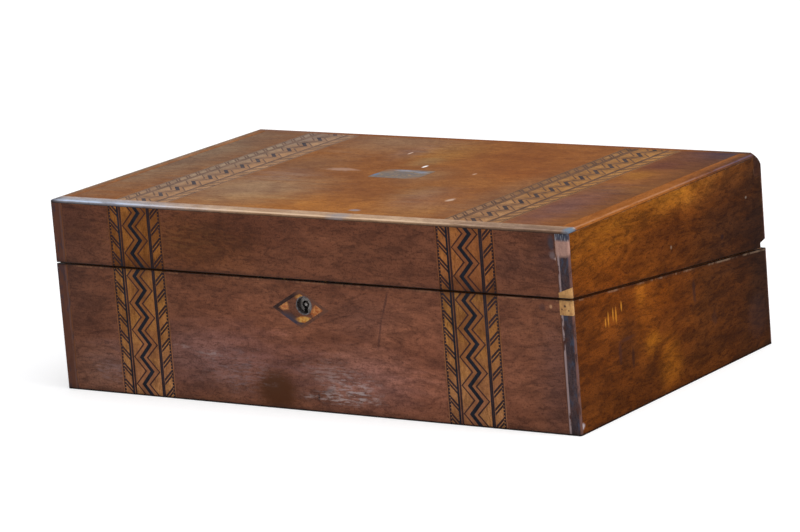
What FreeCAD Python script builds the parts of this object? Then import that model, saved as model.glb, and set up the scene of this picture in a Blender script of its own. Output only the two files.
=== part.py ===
import FreeCAD, Part
import Sketcher
import os
import re

# Victorian walnut writing slope (lap desk): a box sawn apart along a sloping seam, so that the
# lid folds back through 180 degrees and both halves make one sloping writing surface.
# Frame: millimetres, +X along the front to the right, +Y from the front (lock side) to the back
# (hinge side), +Z up; the origin is the centre of the underside.

SIZES = [
    # outer case
    ("box_width", 350.0), ("box_depth", 210.0), ("box_height", 112.5),
    ("seam_back", 56.8), ("seam_angle", 4.953), ("seam_gap", 0.9),
    ("wall", 9.0), ("bottom_thick", 6.0), ("top_thick", 8.0),
    # corner strips and top edging, with the rounding worked on them
    ("post_wide", 8.0), ("post_deep", 1.8), ("corner_radius", 1.2), ("edge_thick", 2.0), ("edge_radius", 2.0),
    ("back_edge_thick", 13.5), ("back_edge_radius", 5.0), ("worn_radius", 19.5), ("worn_long", 46.0),
    ("worn_angle", 30.0),
    ("lid_repair_long", 3.4), ("lid_repair_slope", 21.0), ("base_repair_long", 8.8),
    ("chip_long", 5.4), ("chip_deep", 6.6), ("chip_step", 3.2),
    # inlay
    ("inlay_deep", 1.5), ("band_width", 37.6), ("band_left_inset", 60.05),
    ("band_right_inset", 65.55),
    ("plaque_long", 34.0), ("plaque_wide", 23.0), ("plaque_round", 3.0), ("plaque_x", -3.0),
    ("plaque_y", 3.0), ("plaque_deep", 1.2),
    ("diamond_half_long", 19.2), ("diamond_half_tall", 11.2), ("diamond_border", 0.8),
    ("diamond_x", -3.4), ("diamond_drop", 16.5),
    # lock
    ("liner_x", -0.9), ("liner_drop", 14.4), ("liner_radius", 5.4), ("liner_wall", 0.7),
    ("liner_long", 3.5), ("key_x", -2.0), ("key_drop", 14.6), ("key_round", 2.3),
    ("key_slot_wide", 2.4), ("key_slot_long", 5.4), ("key_pin_radius", 0.95), ("key_pin_long", 4.6),
    ("lock_long", 50.0), ("lock_thick", 5.5), ("lock_tall", 22.0), ("lock_plate", 0.8),
    ("lock_drop", 1.1), ("selvedge_long", 66.0), ("selvedge_wide", 7.0), ("selvedge_thick", 1.5),
    ("hook_pitch", 28.0), ("hook_thick", 1.6), ("hook_wide", 2.4), ("hook_reach", 9.4),
    ("eye_wide", 1.4), ("eye_tall", 3.1), ("eye_foot", 1.3), ("bolt_tall", 2.0),
    ("bolt_finger", 1.0), ("bolt_throw", 4.2), ("bolt_play", 0.4), ("striker_thick", 1.5),
    # hinges
    ("hinge_inset", 75.0), ("hinge_long", 46.0), ("leaf_wide", 6.2), ("leaf_thick", 1.0),
    ("barrel_radius", 2.2), ("hinge_pin_radius", 0.9), ("pin_play", 0.05), ("axis_out", 0.15),
    ("knuckle_gap", 0.2), ("barrel_room", 0.35),
    # wood screws
    ("screw_head", 1.8), ("screw_shank", 0.9), ("screw_long", 6.5), ("screw_cone", 0.9),
    ("screw_slot", 0.5),
    # writing flaps
    ("flap_thick", 5.0), ("flap_sink", 0.6), ("flap_side_gap", 0.6), ("flap_swing", 4.3),
    ("flap_heel", 3.0), ("flap_pin_radius", 1.2), ("flap_pin_in", 6.0), ("leather_thick", 0.8),
    ("leather_margin", 13.0), ("flap_play", 0.06), ("finger_notch", 9.0), ("flap_front_gap", 0.5),
    # fittings inside the base
    ("tray_wide", 40.0), ("partition_thick", 5.0), ("divider_thick", 4.0), ("cell_long", 44.0),
    ("divider_top", 60.0), ("tray_top", 52.0), ("tray_thick", 14.0), ("tray_dado", 2.0),
    ("scoop_radius", 20.0), ("scoop_deep", 9.0), ("flap_rest_gap", 0.1),
    ("bottle_side", 34.0), ("bottle_tall", 30.0), ("bottle_wall", 3.5), ("neck_radius", 11.0),
    ("neck_tall", 7.0), ("neck_bore", 8.0), ("cap_radius", 13.0), ("cap_tall", 9.0),
    ("cap_play", 0.08), ("cap_lift", 1.0), ("bottle_round", 3.0),
    # ledge inside the lid
    ("ledge_wide", 6.0), ("ledge_tall", 8.0), ("ledge_short", 24.0),
]

doc = FreeCAD.newDocument("writing_slope")
sheet = doc.addObject("Spreadsheet::Sheet", "dims")
for row, (alias, value) in enumerate(SIZES, start=1):
    sheet.set("A%d" % row, alias)
    sheet.set("B%d" % row, str(value))
    sheet.setAlias("B%d" % row, alias)
doc.recompute()

NAMES = {alias for alias, value in SIZES}
PARTS = []


def ref(text):
    """Turns a formula of size names into one of sheet cells."""
    return re.sub(r"[A-Za-z_]\w*", lambda m: "dims." + m.group() if m.group() in NAMES else m.group(), text)


def bind(obj, prop, text):
    obj.setExpression(prop, ref(text))


def place(obj, corner, axis=None, angle=None):
    """Binds a position, and a turn about one axis where there is one."""
    if axis:
        obj.Placement = FreeCAD.Placement(FreeCAD.Vector(), FreeCAD.Rotation(FreeCAD.Vector(*axis), 10))
        bind(obj, "Placement.Rotation.Angle", angle)
    for letter, text in zip("xyz", corner):
        bind(obj, "Placement.Base." + letter, text)
    return obj


def box(name, corner, size, axis=None, angle=None):
    obj = doc.addObject("Part::Box", name)
    for prop, text in zip(("Length", "Width", "Height"), size):
        bind(obj, prop, text)
    return place(obj, corner, axis, angle)


def rod(name, centre, radius, length, along="z", angle=None):
    """A cylinder from centre along x, y or z; along t it stands on the tilted seam plane."""
    obj = doc.addObject("Part::Cylinder", name)
    bind(obj, "Radius", radius)
    bind(obj, "Height", length)
    turn = {"x": ((0, 1, 0), "90 deg"), "y": ((-1, 0, 0), "90 deg"), "z": (None, None)}[along]
    return place(obj, centre, *turn)


def wedge(name, x, y, z, x_far, z_far, corner=("0", "0", "0"), axis=None, angle=None):
    """A block from y[0] to y[1] whose two ends have their own x and z spans."""
    obj = doc.addObject("Part::Wedge", name)
    spans = {"X": x, "Y": y, "Z": z, "X2": x_far, "Z2": z_far}
    for letter, (low, high) in spans.items():
        bind(obj, letter + "min", low)
        bind(obj, letter + "max", high)
    return place(obj, corner, axis, angle)


def join(name, *parts):
    obj = doc.addObject("Part::MultiFuse", name)
    obj.Shapes = list(parts)
    obj.Refine = True
    return obj


def cut(name, base, *tools):
    obj = doc.addObject("Part::Cut", name)
    obj.Base = base
    if len(tools) == 1:
        obj.Tool = tools[0]
    else:
        group = doc.addObject("Part::Compound", name + "_tools")
        group.Links = list(tools)
        obj.Tool = group
    return obj


def common(name, first, second):
    obj = doc.addObject("Part::Common", name)
    obj.Base = first
    obj.Tool = second
    return obj


def part(obj, label=None):
    """Marks a finished piece."""
    obj.Label = label or obj.Name
    PARTS.append(obj)
    return obj


def group(name, pieces):
    obj = doc.addObject("Part::Compound", name)
    obj.Links = list(pieces)
    return part(obj)


# ---- shared positions -------------------------------------------------------------------------
LEFT = "-box_width/2"
RIGHT = "box_width/2"
FRONT = "-box_depth/2"
BACK = "box_depth/2"
SLOPE = "tan(seam_angle*1deg)"
SEAM_FRONT = "(seam_back + box_depth*%s)" % SLOPE
AXIS_Y = "(box_depth/2 + axis_out)"
AXIS_Z = "(seam_back - axis_out*%s)" % SLOPE
TILT = ((-1, 0, 0), "seam_angle*1deg")
TILT_OVER = ((1, 0, 0), "180deg - seam_angle*1deg")


def seam_at(y):
    """Height of the seam plane at y."""
    return "(seam_back + (box_depth/2 - (%s))*%s)" % (y, SLOPE)


def on_seam(x, back, up):
    """A point given by x, its distance in front of the hinge axis along the seam, and its height
    square to the seam."""
    y = "%s - (%s)*cos(seam_angle*1deg) + (%s)*sin(seam_angle*1deg)" % (AXIS_Y, back, up)
    z = "%s + (%s)*sin(seam_angle*1deg) + (%s)*cos(seam_angle*1deg)" % (AXIS_Z, back, up)
    return (x, y, z)


def tilted_box(name, x, back, up, size):
    """A block lying on the seam's slope; back and up give its rearmost low edge."""
    length, wide, tall = size
    corner = on_seam(x, "(%s) + (%s)" % (back, wide), up)
    return box(name, corner, size, *TILT)


# ---- zones left by the saw ------------------------------------------------------------------
half_gap = "seam_gap/2"
base_zone = wedge("base_zone", (LEFT, RIGHT), (FRONT, BACK), ("0", SEAM_FRONT + " - " + half_gap),
                  (LEFT, RIGHT), ("0", "seam_back - " + half_gap))
lid_zone = wedge("lid_zone", (LEFT, RIGHT), (FRONT, BACK),
                 (SEAM_FRONT + " + " + half_gap, "box_height"),
                 (LEFT, RIGHT), ("seam_back + " + half_gap, "box_height"))

# ---- outer envelope: a block with rounded upright corners and top edges -------------------------
blank = box("blank", (LEFT, FRONT, "0"), ("box_width", "box_depth", "box_height"))
SIDES = {"left": -1, "right": 1}
ENDS = {"front": -1, "back": 1}


def knife(name, corner, size, centre, radius, length, along):
    """What rounding an edge takes away: a square bar less the round left in it."""
    return cut(name, box(name + "_bar", corner, size), rod(name + "_round", centre, radius, length, along))


def edge(sign, half, size):
    """Low corner of a strip of the given size that ends at one side of the case."""
    return "-%s" % half if sign < 0 else "%s - (%s)" % (half, size)


def centre_of(sign, half, radius):
    return "%s(%s - %s)" % ("-" if sign < 0 else "", half, radius)


knives = []
for side, sx in SIDES.items():
    for end, sy in ENDS.items():
        r = "corner_radius"
        knives.append(knife("knife_%s_%s" % (end, side),
                            (edge(sx, "box_width/2", r), edge(sy, "box_depth/2", r), "0"),
                            (r, r, "box_height"),
                            (centre_of(sx, "box_width/2", r), centre_of(sy, "box_depth/2", r), "0"),
                            r, "box_height", "z"))
for end, sy in ENDS.items():
    r = "edge_radius" if end == "front" else "back_edge_radius"
    knives.append(knife("knife_top_" + end,
                        (LEFT, edge(sy, "box_depth/2", r), "box_height - " + r),
                        ("box_width", r, r),
                        (LEFT, centre_of(sy, "box_depth/2", r), "box_height - " + r),
                        r, "box_width", "x"))
for side, sx in SIDES.items():
    r = "edge_radius"
    knives.append(knife("knife_top_" + side,
                        (edge(sx, "box_width/2", r), FRONT, "box_height - " + r),
                        (r, "box_depth", r),
                        (centre_of(sx, "box_width/2", r), FRONT, "box_height - " + r),
                        r, "box_depth", "y"))
# the top back right corner is worn away in a round that dies out along the back edge
worn_bar = box("worn_bar", ("0", "0", "0"), ("worn_long", "worn_radius", "worn_radius"))
worn_knife = cut("knife_worn", worn_bar, rod("worn_round", ("0", "0", "0"), "worn_radius", "worn_long", "x"))
rise = "worn_long*sin(worn_angle*1deg)/sqrt(2) - worn_radius"
knives.append(place(worn_knife, (RIGHT + " - worn_long*cos(worn_angle*1deg)", BACK + " + " + rise,
                                 "box_height + " + rise), (0, 1, -1), "worn_angle*1deg"))
envelope = cut("envelope", blank, *knives)

# ---- corner strips, let into rebates at the ends of the front and the back ------------------------
edge_low = "box_height - edge_thick"
back_low = "box_height - back_edge_thick"
posts = {}
rounded_posts = {}
for side, sx in SIDES.items():
    for end, sy in ENDS.items():
        key = end + "_" + side
        posts[key] = box("post_" + key,
                         (edge(sx, "box_width/2", "post_wide"), edge(sy, "box_depth/2", "post_deep"), "0"),
                         ("post_wide", "post_deep", edge_low if end == "front" else back_low))
        rounded_posts[key] = common("rounded_post_" + key, posts[key], envelope)

# the front right strip was broken either side of the seam and made good with lighter wood, with a
# slanting joint in the lid; at the back right the corner above the seam has broken away in a slope
POST_LEFT = "(%s - post_wide)" % RIGHT
base_repair_low = SEAM_FRONT + " - base_repair_long"
mask_lid_repair = box("mask_lid_repair",
                      (POST_LEFT, FRONT, SEAM_FRONT + " + lid_repair_long - wall/cos(lid_repair_slope*1deg)"),
                      ("2*post_wide", "wall", "wall"), (0, -1, 0), "lid_repair_slope*1deg")
mask_base_repair = box("mask_base_repair", (POST_LEFT, FRONT, base_repair_low),
                       ("post_wide", "wall", "base_repair_long"))
chip_front = "%s - chip_deep" % BACK
mask_chip = wedge("mask_chip", (POST_LEFT, RIGHT), (chip_front, BACK),
                  ("seam_back - wall", seam_at(chip_front) + " + chip_step"),
                  (POST_LEFT, RIGHT), ("seam_back - wall", "seam_back + chip_long"))
for key, post in rounded_posts.items():
    in_base = common("base_post_" + key, post, base_zone)
    in_lid = common("lid_post_" + key, post, lid_zone)
    if key == "front_right":
        part(common("base_corner_repair", in_base, mask_base_repair))
        part(common("lid_corner_repair", in_lid, mask_lid_repair))
        in_base = cut("base_post_short", in_base, mask_base_repair)
        in_lid = cut("lid_post_short", in_lid, mask_lid_repair)
    if key == "back_right":
        in_lid = cut("lid_post_chipped", in_lid, mask_chip)
    part(in_base, "base_corner_" + key)
    part(in_lid, "lid_corner_" + key)

# ---- walls: mitred boards glued up round the case, then sawn along the seam ----------------------
front_stuff = wedge("front_stuff", (LEFT, RIGHT), (FRONT, FRONT + " + wall"), ("0", edge_low),
                    (LEFT + " + wall", RIGHT + " - wall"), ("0", edge_low))
back_stuff = wedge("back_stuff", (LEFT + " + wall", RIGHT + " - wall"), (BACK + " - wall", BACK),
                   ("0", back_low), (LEFT, RIGHT), ("0", back_low))
back_rail = box("back_rail", (LEFT, BACK + " - wall", back_low), ("box_width", "wall", "back_edge_thick"))
side_stuff = {}
for side, sx in SIDES.items():
    stuff = box(side + "_stuff", (edge(sx, "box_width/2", "wall"), FRONT, "0"),
                ("wall", "box_depth", edge_low))
    side_stuff[side] = cut(side + "_mitred", stuff, front_stuff, back_stuff, back_rail,
                           posts["front_" + side], posts["back_" + side])
front_board = cut("front_rebated", front_stuff, posts["front_left"], posts["front_right"])
back_board = cut("back_rebated", back_stuff, posts["back_left"], posts["back_right"])

# top edging: the front and back lengths run through over the corner strips
front_rail = box("front_rail", (LEFT, FRONT, edge_low), ("box_width", "wall", "edge_thick"))
part(common("lid_edge_front", front_rail, envelope))
part(common("lid_edge_back", back_rail, envelope))
for side, sx in SIDES.items():
    rail = box(side + "_rail", (edge(sx, "box_width/2", "wall"), FRONT + " + wall", edge_low),
               ("wall", "box_depth - 2*wall", "edge_thick"))
    part(common("lid_edge_" + side, rail, envelope))

# ---- inlaid bands ---------------------------------------------------------------------------------
front_bands = []
top_bands = []
band_middle = {"left": LEFT + " + band_left_inset", "right": RIGHT + " - band_right_inset"}
for side in SIDES:
    x = band_middle[side] + " - band_width/2"
    strip = box("front_band_" + side, (x, FRONT, "0"), ("band_width", "inlay_deep", edge_low))
    front_bands.append(strip)
    part(common("base_front_band_" + side, strip, base_zone))
    part(common("lid_front_band_" + side, strip, lid_zone))
    strip = box("lid_top_band_" + side, (x, FRONT + " + wall", "box_height - inlay_deep"),
                ("band_width", "box_depth - 2*wall", "inlay_deep"))
    top_bands.append(part(strip))


# ---- plates drawn as sketches ----------------------------------------------------------------------
def origin_plane(body, role):
    return [f for f in body.Origin.OriginFeatures if f.Role == role][0]


def new_sketch(body, name, role="XY_Plane"):
    sketch = body.newObject("Sketcher::SketchObject", name)
    sketch.AttachmentSupport = [(origin_plane(body, role), "")]
    sketch.MapMode = "FlatFace"
    return sketch


def name_size(sketch, index, name, text):
    sketch.renameConstraint(index, name)
    bind(sketch, "Constraints." + name, text)


def closed_loop(sketch, points):
    """Draws a closed loop of lines and ties each end to the next start."""
    count = len(points)
    for i, (x, y) in enumerate(points):
        x_next, y_next = points[(i + 1) % count]
        start, end = FreeCAD.Vector(x, y, 0), FreeCAD.Vector(x_next, y_next, 0)
        sketch.addGeometry(Part.LineSegment(start, end), False)
    for i in range(count):
        sketch.addConstraint(Sketcher.Constraint("Coincident", i, 2, (i + 1) % count, 1))


def pad(body, sketch, length):
    feature = body.newObject("PartDesign::Pad", body.Name + "_pad")
    feature.Profile = sketch
    bind(feature, "Length", length)
    body.Tip = feature
    return feature


def diamond_plate(name, half_long, half_tall, thick):
    """An upright lozenge, extruded from the front face into the wood."""
    body = doc.addObject("PartDesign::Body", name)
    sketch = new_sketch(body, name + "_sketch")
    closed_loop(sketch, [(9, 0), (0, 5), (-9, 0), (0, -5)])
    sketch.addConstraint(Sketcher.Constraint("PointOnObject", 0, 1, -1))
    sketch.addConstraint(Sketcher.Constraint("PointOnObject", 1, 1, -2))
    sketch.addConstraint(Sketcher.Constraint("Symmetric", 0, 1, 2, 1, -1, 1))
    sketch.addConstraint(Sketcher.Constraint("Symmetric", 1, 1, 3, 1, -1, 1))
    across = sketch.addConstraint(Sketcher.Constraint("DistanceX", -1, 1, 0, 1, 9))
    name_size(sketch, across, "half_long", half_long)
    upright = sketch.addConstraint(Sketcher.Constraint("DistanceY", -1, 1, 1, 1, 5))
    name_size(sketch, upright, "half_tall", half_tall)
    pad(body, sketch, thick)
    middle = ("diamond_x", FRONT + " + inlay_deep", SEAM_FRONT + " - diamond_drop")
    return place(body, middle, (1, 0, 0), "90 deg")


def rounded_plate(name, length, wide, thick, radius):
    """A rectangular plate centred on its origin, with rounded corners."""
    body = doc.addObject("PartDesign::Body", name)
    sketch = new_sketch(body, name + "_sketch")
    closed_loop(sketch, [(-9, -6), (9, -6), (9, 6), (-9, 6)])
    for line in (0, 2):
        sketch.addConstraint(Sketcher.Constraint("Horizontal", line))
    for line in (1, 3):
        sketch.addConstraint(Sketcher.Constraint("Vertical", line))
    sketch.addConstraint(Sketcher.Constraint("Symmetric", 0, 1, 2, 1, -1, 1))
    span = sketch.addConstraint(Sketcher.Constraint("DistanceX", 0, 1, 0, 2, 18))
    name_size(sketch, span, "length", length)
    name_size(sketch, sketch.addConstraint(Sketcher.Constraint("DistanceY", 1, 1, 1, 2, 12)), "wide", wide)
    feature = pad(body, sketch, thick)
    doc.recompute()
    uprights = [i + 1 for i, e in enumerate(feature.Shape.Edges)
                if abs(e.Vertexes[0].X - e.Vertexes[-1].X) + abs(e.Vertexes[0].Y - e.Vertexes[-1].Y) < 1e-6]
    fillet = body.newObject("PartDesign::Fillet", name + "_fillet")
    fillet.Base = (feature, ["Edge%d" % i for i in uprights])
    bind(fillet, "Radius", radius)
    body.Tip = fillet
    return body


cartouche = rounded_plate("cartouche", "plaque_long", "plaque_wide", "plaque_deep", "plaque_round")
part(place(cartouche, ("plaque_x", "plaque_y", "box_height - plaque_deep")))

diamond = diamond_plate("diamond", "diamond_half_long", "diamond_half_tall", "inlay_deep")
heart = diamond_plate("diamond_heart", "diamond_half_long*diamond_border",
                      "diamond_half_tall*diamond_border", "inlay_deep")
liner_centre = ("liner_x", FRONT, SEAM_FRONT + " - liner_drop")
liner_hole = rod("liner_hole", liner_centre, "liner_radius", "liner_long", "y")
part(cut("escutcheon_border", diamond, heart, liner_hole))
part(cut("escutcheon_field", heart, liner_hole))
part(cut("keyhole_liner", liner_hole,
         rod("liner_bore", liner_centre, "liner_radius - liner_wall", "liner_long", "y")))

# ---- lock -----------------------------------------------------------------------------------------
INNER_FRONT = "(%s + wall)" % FRONT
LOCK_FACE = "(%s - lock_thick)" % INNER_FRONT
LOCK_TOP = "(%s - lock_drop - selvedge_thick)" % SEAM_FRONT
LOCK_LOW = "(%s - lock_tall)" % LOCK_TOP
KEY_Z = "(%s - key_drop)" % SEAM_FRONT
lock_body = box("lock_body", ("key_x - lock_long/2", LOCK_FACE, LOCK_LOW),
                ("lock_long", "lock_thick", "lock_tall"))
selvedge = box("selvedge", ("key_x - selvedge_long/2", INNER_FRONT + " - selvedge_wide", LOCK_TOP),
               ("selvedge_long", "selvedge_wide", "selvedge_thick"))
lock_room = box("lock_room",
                ("key_x - lock_long/2 + lock_plate", LOCK_FACE + " + lock_plate", LOCK_LOW + " + lock_plate"),
                ("lock_long - 2*lock_plate", "lock_thick - 2*lock_plate", "lock_tall - lock_plate"))
hook_slots = []
for n, sign in enumerate((-1, 1)):
    hook_slots.append(box("hook_slot_%d" % n,
                          ("key_x + %d*hook_pitch/2 - hook_thick/2 - bolt_play" % sign,
                           LOCK_FACE + " + lock_plate", LOCK_TOP),
                          ("hook_thick + 2*bolt_play", "lock_thick - 2*lock_plate", "selvedge_thick")))
key_round_hole = rod("key_round_hole", ("key_x", LOCK_FACE, KEY_Z), "key_round", "lock_plate", "y")
key_slot_hole = box("key_slot_hole", ("key_x - key_slot_wide/2", LOCK_FACE, KEY_Z + " - key_slot_long"),
                    ("key_slot_wide", "lock_plate", "key_slot_long"))
lock_screw_points = [("key_x + %d*(selvedge_long/2 + lock_long/2)/2" % sign,
                      INNER_FRONT + " - selvedge_wide/2", "%s + selvedge_thick" % LOCK_TOP)
                     for sign in (-1, 1)]


def screw(name, point, axis=None, angle=None, lay=None):
    """A countersunk slotted wood screw whose head top is at point and whose shank runs below it.
    lay gives the same point moved down the screw's own axis by a distance."""
    head = doc.addObject("Part::Cone", name + "_head")
    bind(head, "Radius1", "screw_shank")
    bind(head, "Radius2", "screw_head")
    bind(head, "Height", "screw_cone")
    place(head, lay("screw_cone"), axis, angle)
    shank = doc.addObject("Part::Cylinder", name + "_shank")
    bind(shank, "Radius", "screw_shank")
    bind(shank, "Height", "screw_long - screw_cone")
    place(shank, lay("screw_long"), axis, angle)
    return join(name, head, shank)


lock_screws = []
for n, (x, y, z) in enumerate(lock_screw_points):
    lock_screws.append(screw("lock_screw_%d" % n, (x, y, z),
                             lay=lambda down, x=x, y=y, z=z: (x, y, "%s - (%s)" % (z, down))))
group("lock_screws", lock_screws)
part(cut("lock_case", join("lock_shell", lock_body, selvedge), lock_room, *hook_slots,
         key_round_hole, key_slot_hole, *lock_screws))
part(rod("lock_key_pin", ("key_x", INNER_FRONT + " - lock_plate - key_pin_long", KEY_Z),
         "key_pin_radius", "key_pin_long", "y"))

# striker plate in the lid, with two eyed hooks that drop into the lock
STRIKER_LOW = "(%s + seam_gap/2)" % SEAM_FRONT
HOOK_Y = "(%s + lock_plate + bolt_play)" % LOCK_FACE
striker_parts = [box("striker_plate",
                     ("key_x - selvedge_long/2", INNER_FRONT + " - selvedge_wide", STRIKER_LOW),
                     ("selvedge_long", "selvedge_wide", "striker_thick"))]
HOOK_LOW = "(%s - hook_reach)" % STRIKER_LOW
for n, sign in enumerate((-1, 1)):
    x = "key_x + %d*hook_pitch/2 - hook_thick/2" % sign
    tab = box("hook_tab_%d" % n, (x, HOOK_Y, HOOK_LOW),
              ("hook_thick", "hook_wide", "hook_reach + striker_thick"))
    eye = box("hook_eye_%d" % n, (x, HOOK_Y + " + (hook_wide - eye_wide)/2", HOOK_LOW + " + eye_foot"),
              ("hook_thick", "eye_wide", "eye_tall"))
    striker_parts.append(cut("hook_%d" % n, tab, eye))
striker_screws = []
for n, sign in enumerate((-1, 1)):
    x = "key_x + %d*(selvedge_long/2 + lock_long/2)/2" % sign
    y = INNER_FRONT + " - selvedge_wide/2"
    striker_screws.append(screw("striker_screw_%d" % n, (x, y, STRIKER_LOW), (1, 0, 0), "180 deg",
                                lambda down, x=x, y=y: (x, y, "%s + (%s)" % (STRIKER_LOW, down))))
group("striker_screws", striker_screws)
part(cut("lid_striker", join("striker_blank", *striker_parts), *striker_screws))

# sliding bolt: a bar with two fingers that enter the eyes when it is thrown to the right
BOLT_Y = "(%s + lock_plate + bolt_play)" % LOCK_FACE
FINGER_Y = "(%s + (hook_wide - bolt_finger)/2)" % HOOK_Y
FINGER_Z = "(%s + eye_foot + bolt_play)" % HOOK_LOW
BAR_TOP = "(%s - bolt_play)" % HOOK_LOW
bolt_parts = []
bar_start = "key_x - hook_pitch/2 - hook_thick/2 - bolt_throw - 2*bolt_play - hook_thick"
bolt_parts.append(box("bolt_bar", (bar_start, BOLT_Y, BAR_TOP + " - bolt_tall"),
                      ("hook_pitch + hook_thick", "lock_thick - 2*lock_plate - 2*bolt_play", "bolt_tall")))
for n, sign in enumerate((-1, 1)):
    post_x = "(key_x + %d*hook_pitch/2 - hook_thick/2 - bolt_throw - 2*bolt_play - hook_thick)" % sign
    bolt_parts.append(box("bolt_post_%d" % n, (post_x, FINGER_Y, BAR_TOP + " - bolt_tall"),
                          ("hook_thick", "bolt_finger", "bolt_tall + eye_foot + eye_tall")))
    bolt_parts.append(box("bolt_finger_%d" % n, (post_x, FINGER_Y, FINGER_Z),
                          ("hook_thick + bolt_throw", "bolt_finger", "eye_tall - 2*bolt_play")))
part(join("lock_bolt", *bolt_parts))

# ---- hinges: leaves let into the seam faces, barrels on the outer back corner of the seam ---------
hinge_rooms_base = []
hinge_rooms_lid = []
hinge_pin_pieces = []
base_screws = []
lid_screws = []
KNUCKLES = 5
for side, sx in SIDES.items():
    middle = "%s(box_width/2 - hinge_inset)" % ("-" if sx < 0 else "")
    start = middle + " - hinge_long/2"
    for half, up in (("base", -1), ("lid", 1)):
        name = "hinge_%s_%s" % (side, half)
        leaf_up = "-seam_gap/2 - leaf_thick" if up < 0 else "seam_gap/2"
        leaf = tilted_box(name + "_plate", start, "barrel_radius + barrel_room", leaf_up,
                          ("hinge_long", "leaf_wide", "leaf_thick"))
        pieces = [leaf]
        for k in range(KNUCKLES):
            if (k % 2 == 0) != (half == "base"):
                continue
            x = "%s + %d*hinge_long/%d + knuckle_gap/2" % (start, k, KNUCKLES)
            span = "hinge_long/%d - knuckle_gap" % KNUCKLES
            pieces.append(rod("%s_knuckle_%d" % (name, k), (x, AXIS_Y, AXIS_Z), "barrel_radius", span, "x"))
            pieces.append(tilted_box("%s_tongue_%d" % (name, k), x, "0", leaf_up,
                                     (span, "barrel_radius + 2*barrel_room", "leaf_thick")))
        screws = []
        for k in (-1, 0, 1):
            x = "%s + %d*hinge_long/3" % (middle, k)
            ahead = "barrel_radius + barrel_room + leaf_wide/2"
            if half == "base":
                lay = lambda down, x=x, ahead=ahead: on_seam(x, ahead, "-seam_gap/2 - (%s)" % down)
                turn = TILT
            else:
                lay = lambda down, x=x, ahead=ahead: on_seam(x, ahead, "seam_gap/2 + (%s)" % down)
                turn = TILT_OVER
            screws.append(screw("%s_screw_%d" % (name, k + 1), None, turn[0], turn[1], lay))
        bore = rod(name + "_bore", (start, AXIS_Y, AXIS_Z), "hinge_pin_radius + pin_play", "hinge_long", "x")
        part(cut(name + "_leaf", join(name + "_blank", *pieces), bore, *screws))
        (base_screws if half == "base" else lid_screws).extend(screws)
        room = tilted_box(name + "_room", start, "0", leaf_up,
                          ("hinge_long", "barrel_radius + barrel_room + leaf_wide", "leaf_thick"))
        barrel = rod(name + "_barrel_room", ("%s - barrel_room" % start, AXIS_Y, AXIS_Z),
                     "barrel_radius + barrel_room", "hinge_long + 2*barrel_room", "x")
        (hinge_rooms_base if half == "base" else hinge_rooms_lid).extend([room, barrel])
    hinge_pin_pieces.append(rod("hinge_pin_" + side, (start, AXIS_Y, AXIS_Z), "hinge_pin_radius",
                                "hinge_long", "x"))
group("hinge_pins", hinge_pin_pieces)
group("hinge_base_screws", base_screws)
group("hinge_lid_screws", lid_screws)

# ---- writing flaps, each turning on two pins near the fold -----------------------------------------
INNER_LEFT = "(%s + wall)" % LEFT
INNER_LONG = "(box_width - 2*wall)"
PIVOT_BACK = "((axis_out + wall)/cos(seam_angle*1deg) + flap_swing)"
FLAP_X = "(%s + flap_side_gap)" % INNER_LEFT
FLAP_LONG = "(%s - 2*flap_side_gap)" % INNER_LONG
TRAY_BACK_AHEAD = "((box_depth/2 + axis_out - (%s + tray_wide))/cos(seam_angle*1deg))" % INNER_FRONT
LID_FLAP_AHEAD = "((box_depth/2 + axis_out - %s)/cos(seam_angle*1deg))" % INNER_FRONT
wall_pin_holes = {"base": [], "lid": []}
for half, up in (("base", -1), ("lid", 1)):
    heel = "(%s - flap_heel)" % PIVOT_BACK
    reach = "(%s - flap_front_gap)" % (TRAY_BACK_AHEAD if half == "base" else LID_FLAP_AHEAD)
    low = "-(flap_sink + flap_thick)" if up < 0 else "flap_sink"
    wide = "(%s - %s)" % (reach, heel)
    board = tilted_box(half + "_flap_blank", FLAP_X, heel, low, (FLAP_LONG, wide, "flap_thick"))
    leather_low = "-(flap_sink + leather_thick)" if up < 0 else "flap_sink"
    leather_size = ("%s - 2*leather_margin" % FLAP_LONG, "%s - 2*leather_margin" % wide, "leather_thick")
    leather = tilted_box(half + "_flap_leather", "(%s + leather_margin)" % FLAP_X,
                         "(%s + leather_margin)" % heel, leather_low, leather_size)
    part(leather)
    middle = "%d*(flap_sink + flap_thick/2)" % up
    pins = []
    holes = []
    for side, sx in SIDES.items():
        x = "%s - flap_pin_in" % INNER_LEFT if sx < 0 else "-%s - flap_pin_in" % INNER_LEFT
        at = on_seam(x, PIVOT_BACK, middle)
        pins.append(rod("%s_flap_pin_%s" % (half, side), at, "flap_pin_radius", "2*flap_pin_in", "x"))
        holes.append(rod("%s_flap_hole_%s" % (half, side), at, "flap_pin_radius + flap_play",
                         "2*flap_pin_in + flap_play", "x"))
        wall_pin_holes[half].append(pins[-1])
    if half == "base":
        notch_at = on_seam("0", reach, "-(flap_sink + 2*flap_thick)")
    else:
        notch_at = on_seam("0", reach, "flap_sink - flap_thick")
    notch = place(doc.addObject("Part::Cylinder", half + "_flap_notch"), notch_at, *TILT)
    bind(notch, "Radius", "finger_notch")
    bind(notch, "Height", "3*flap_thick")
    part(cut(half + "_flap_board", board, leather, notch, *holes))
    group(half + "_flap_pins", pins)

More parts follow.
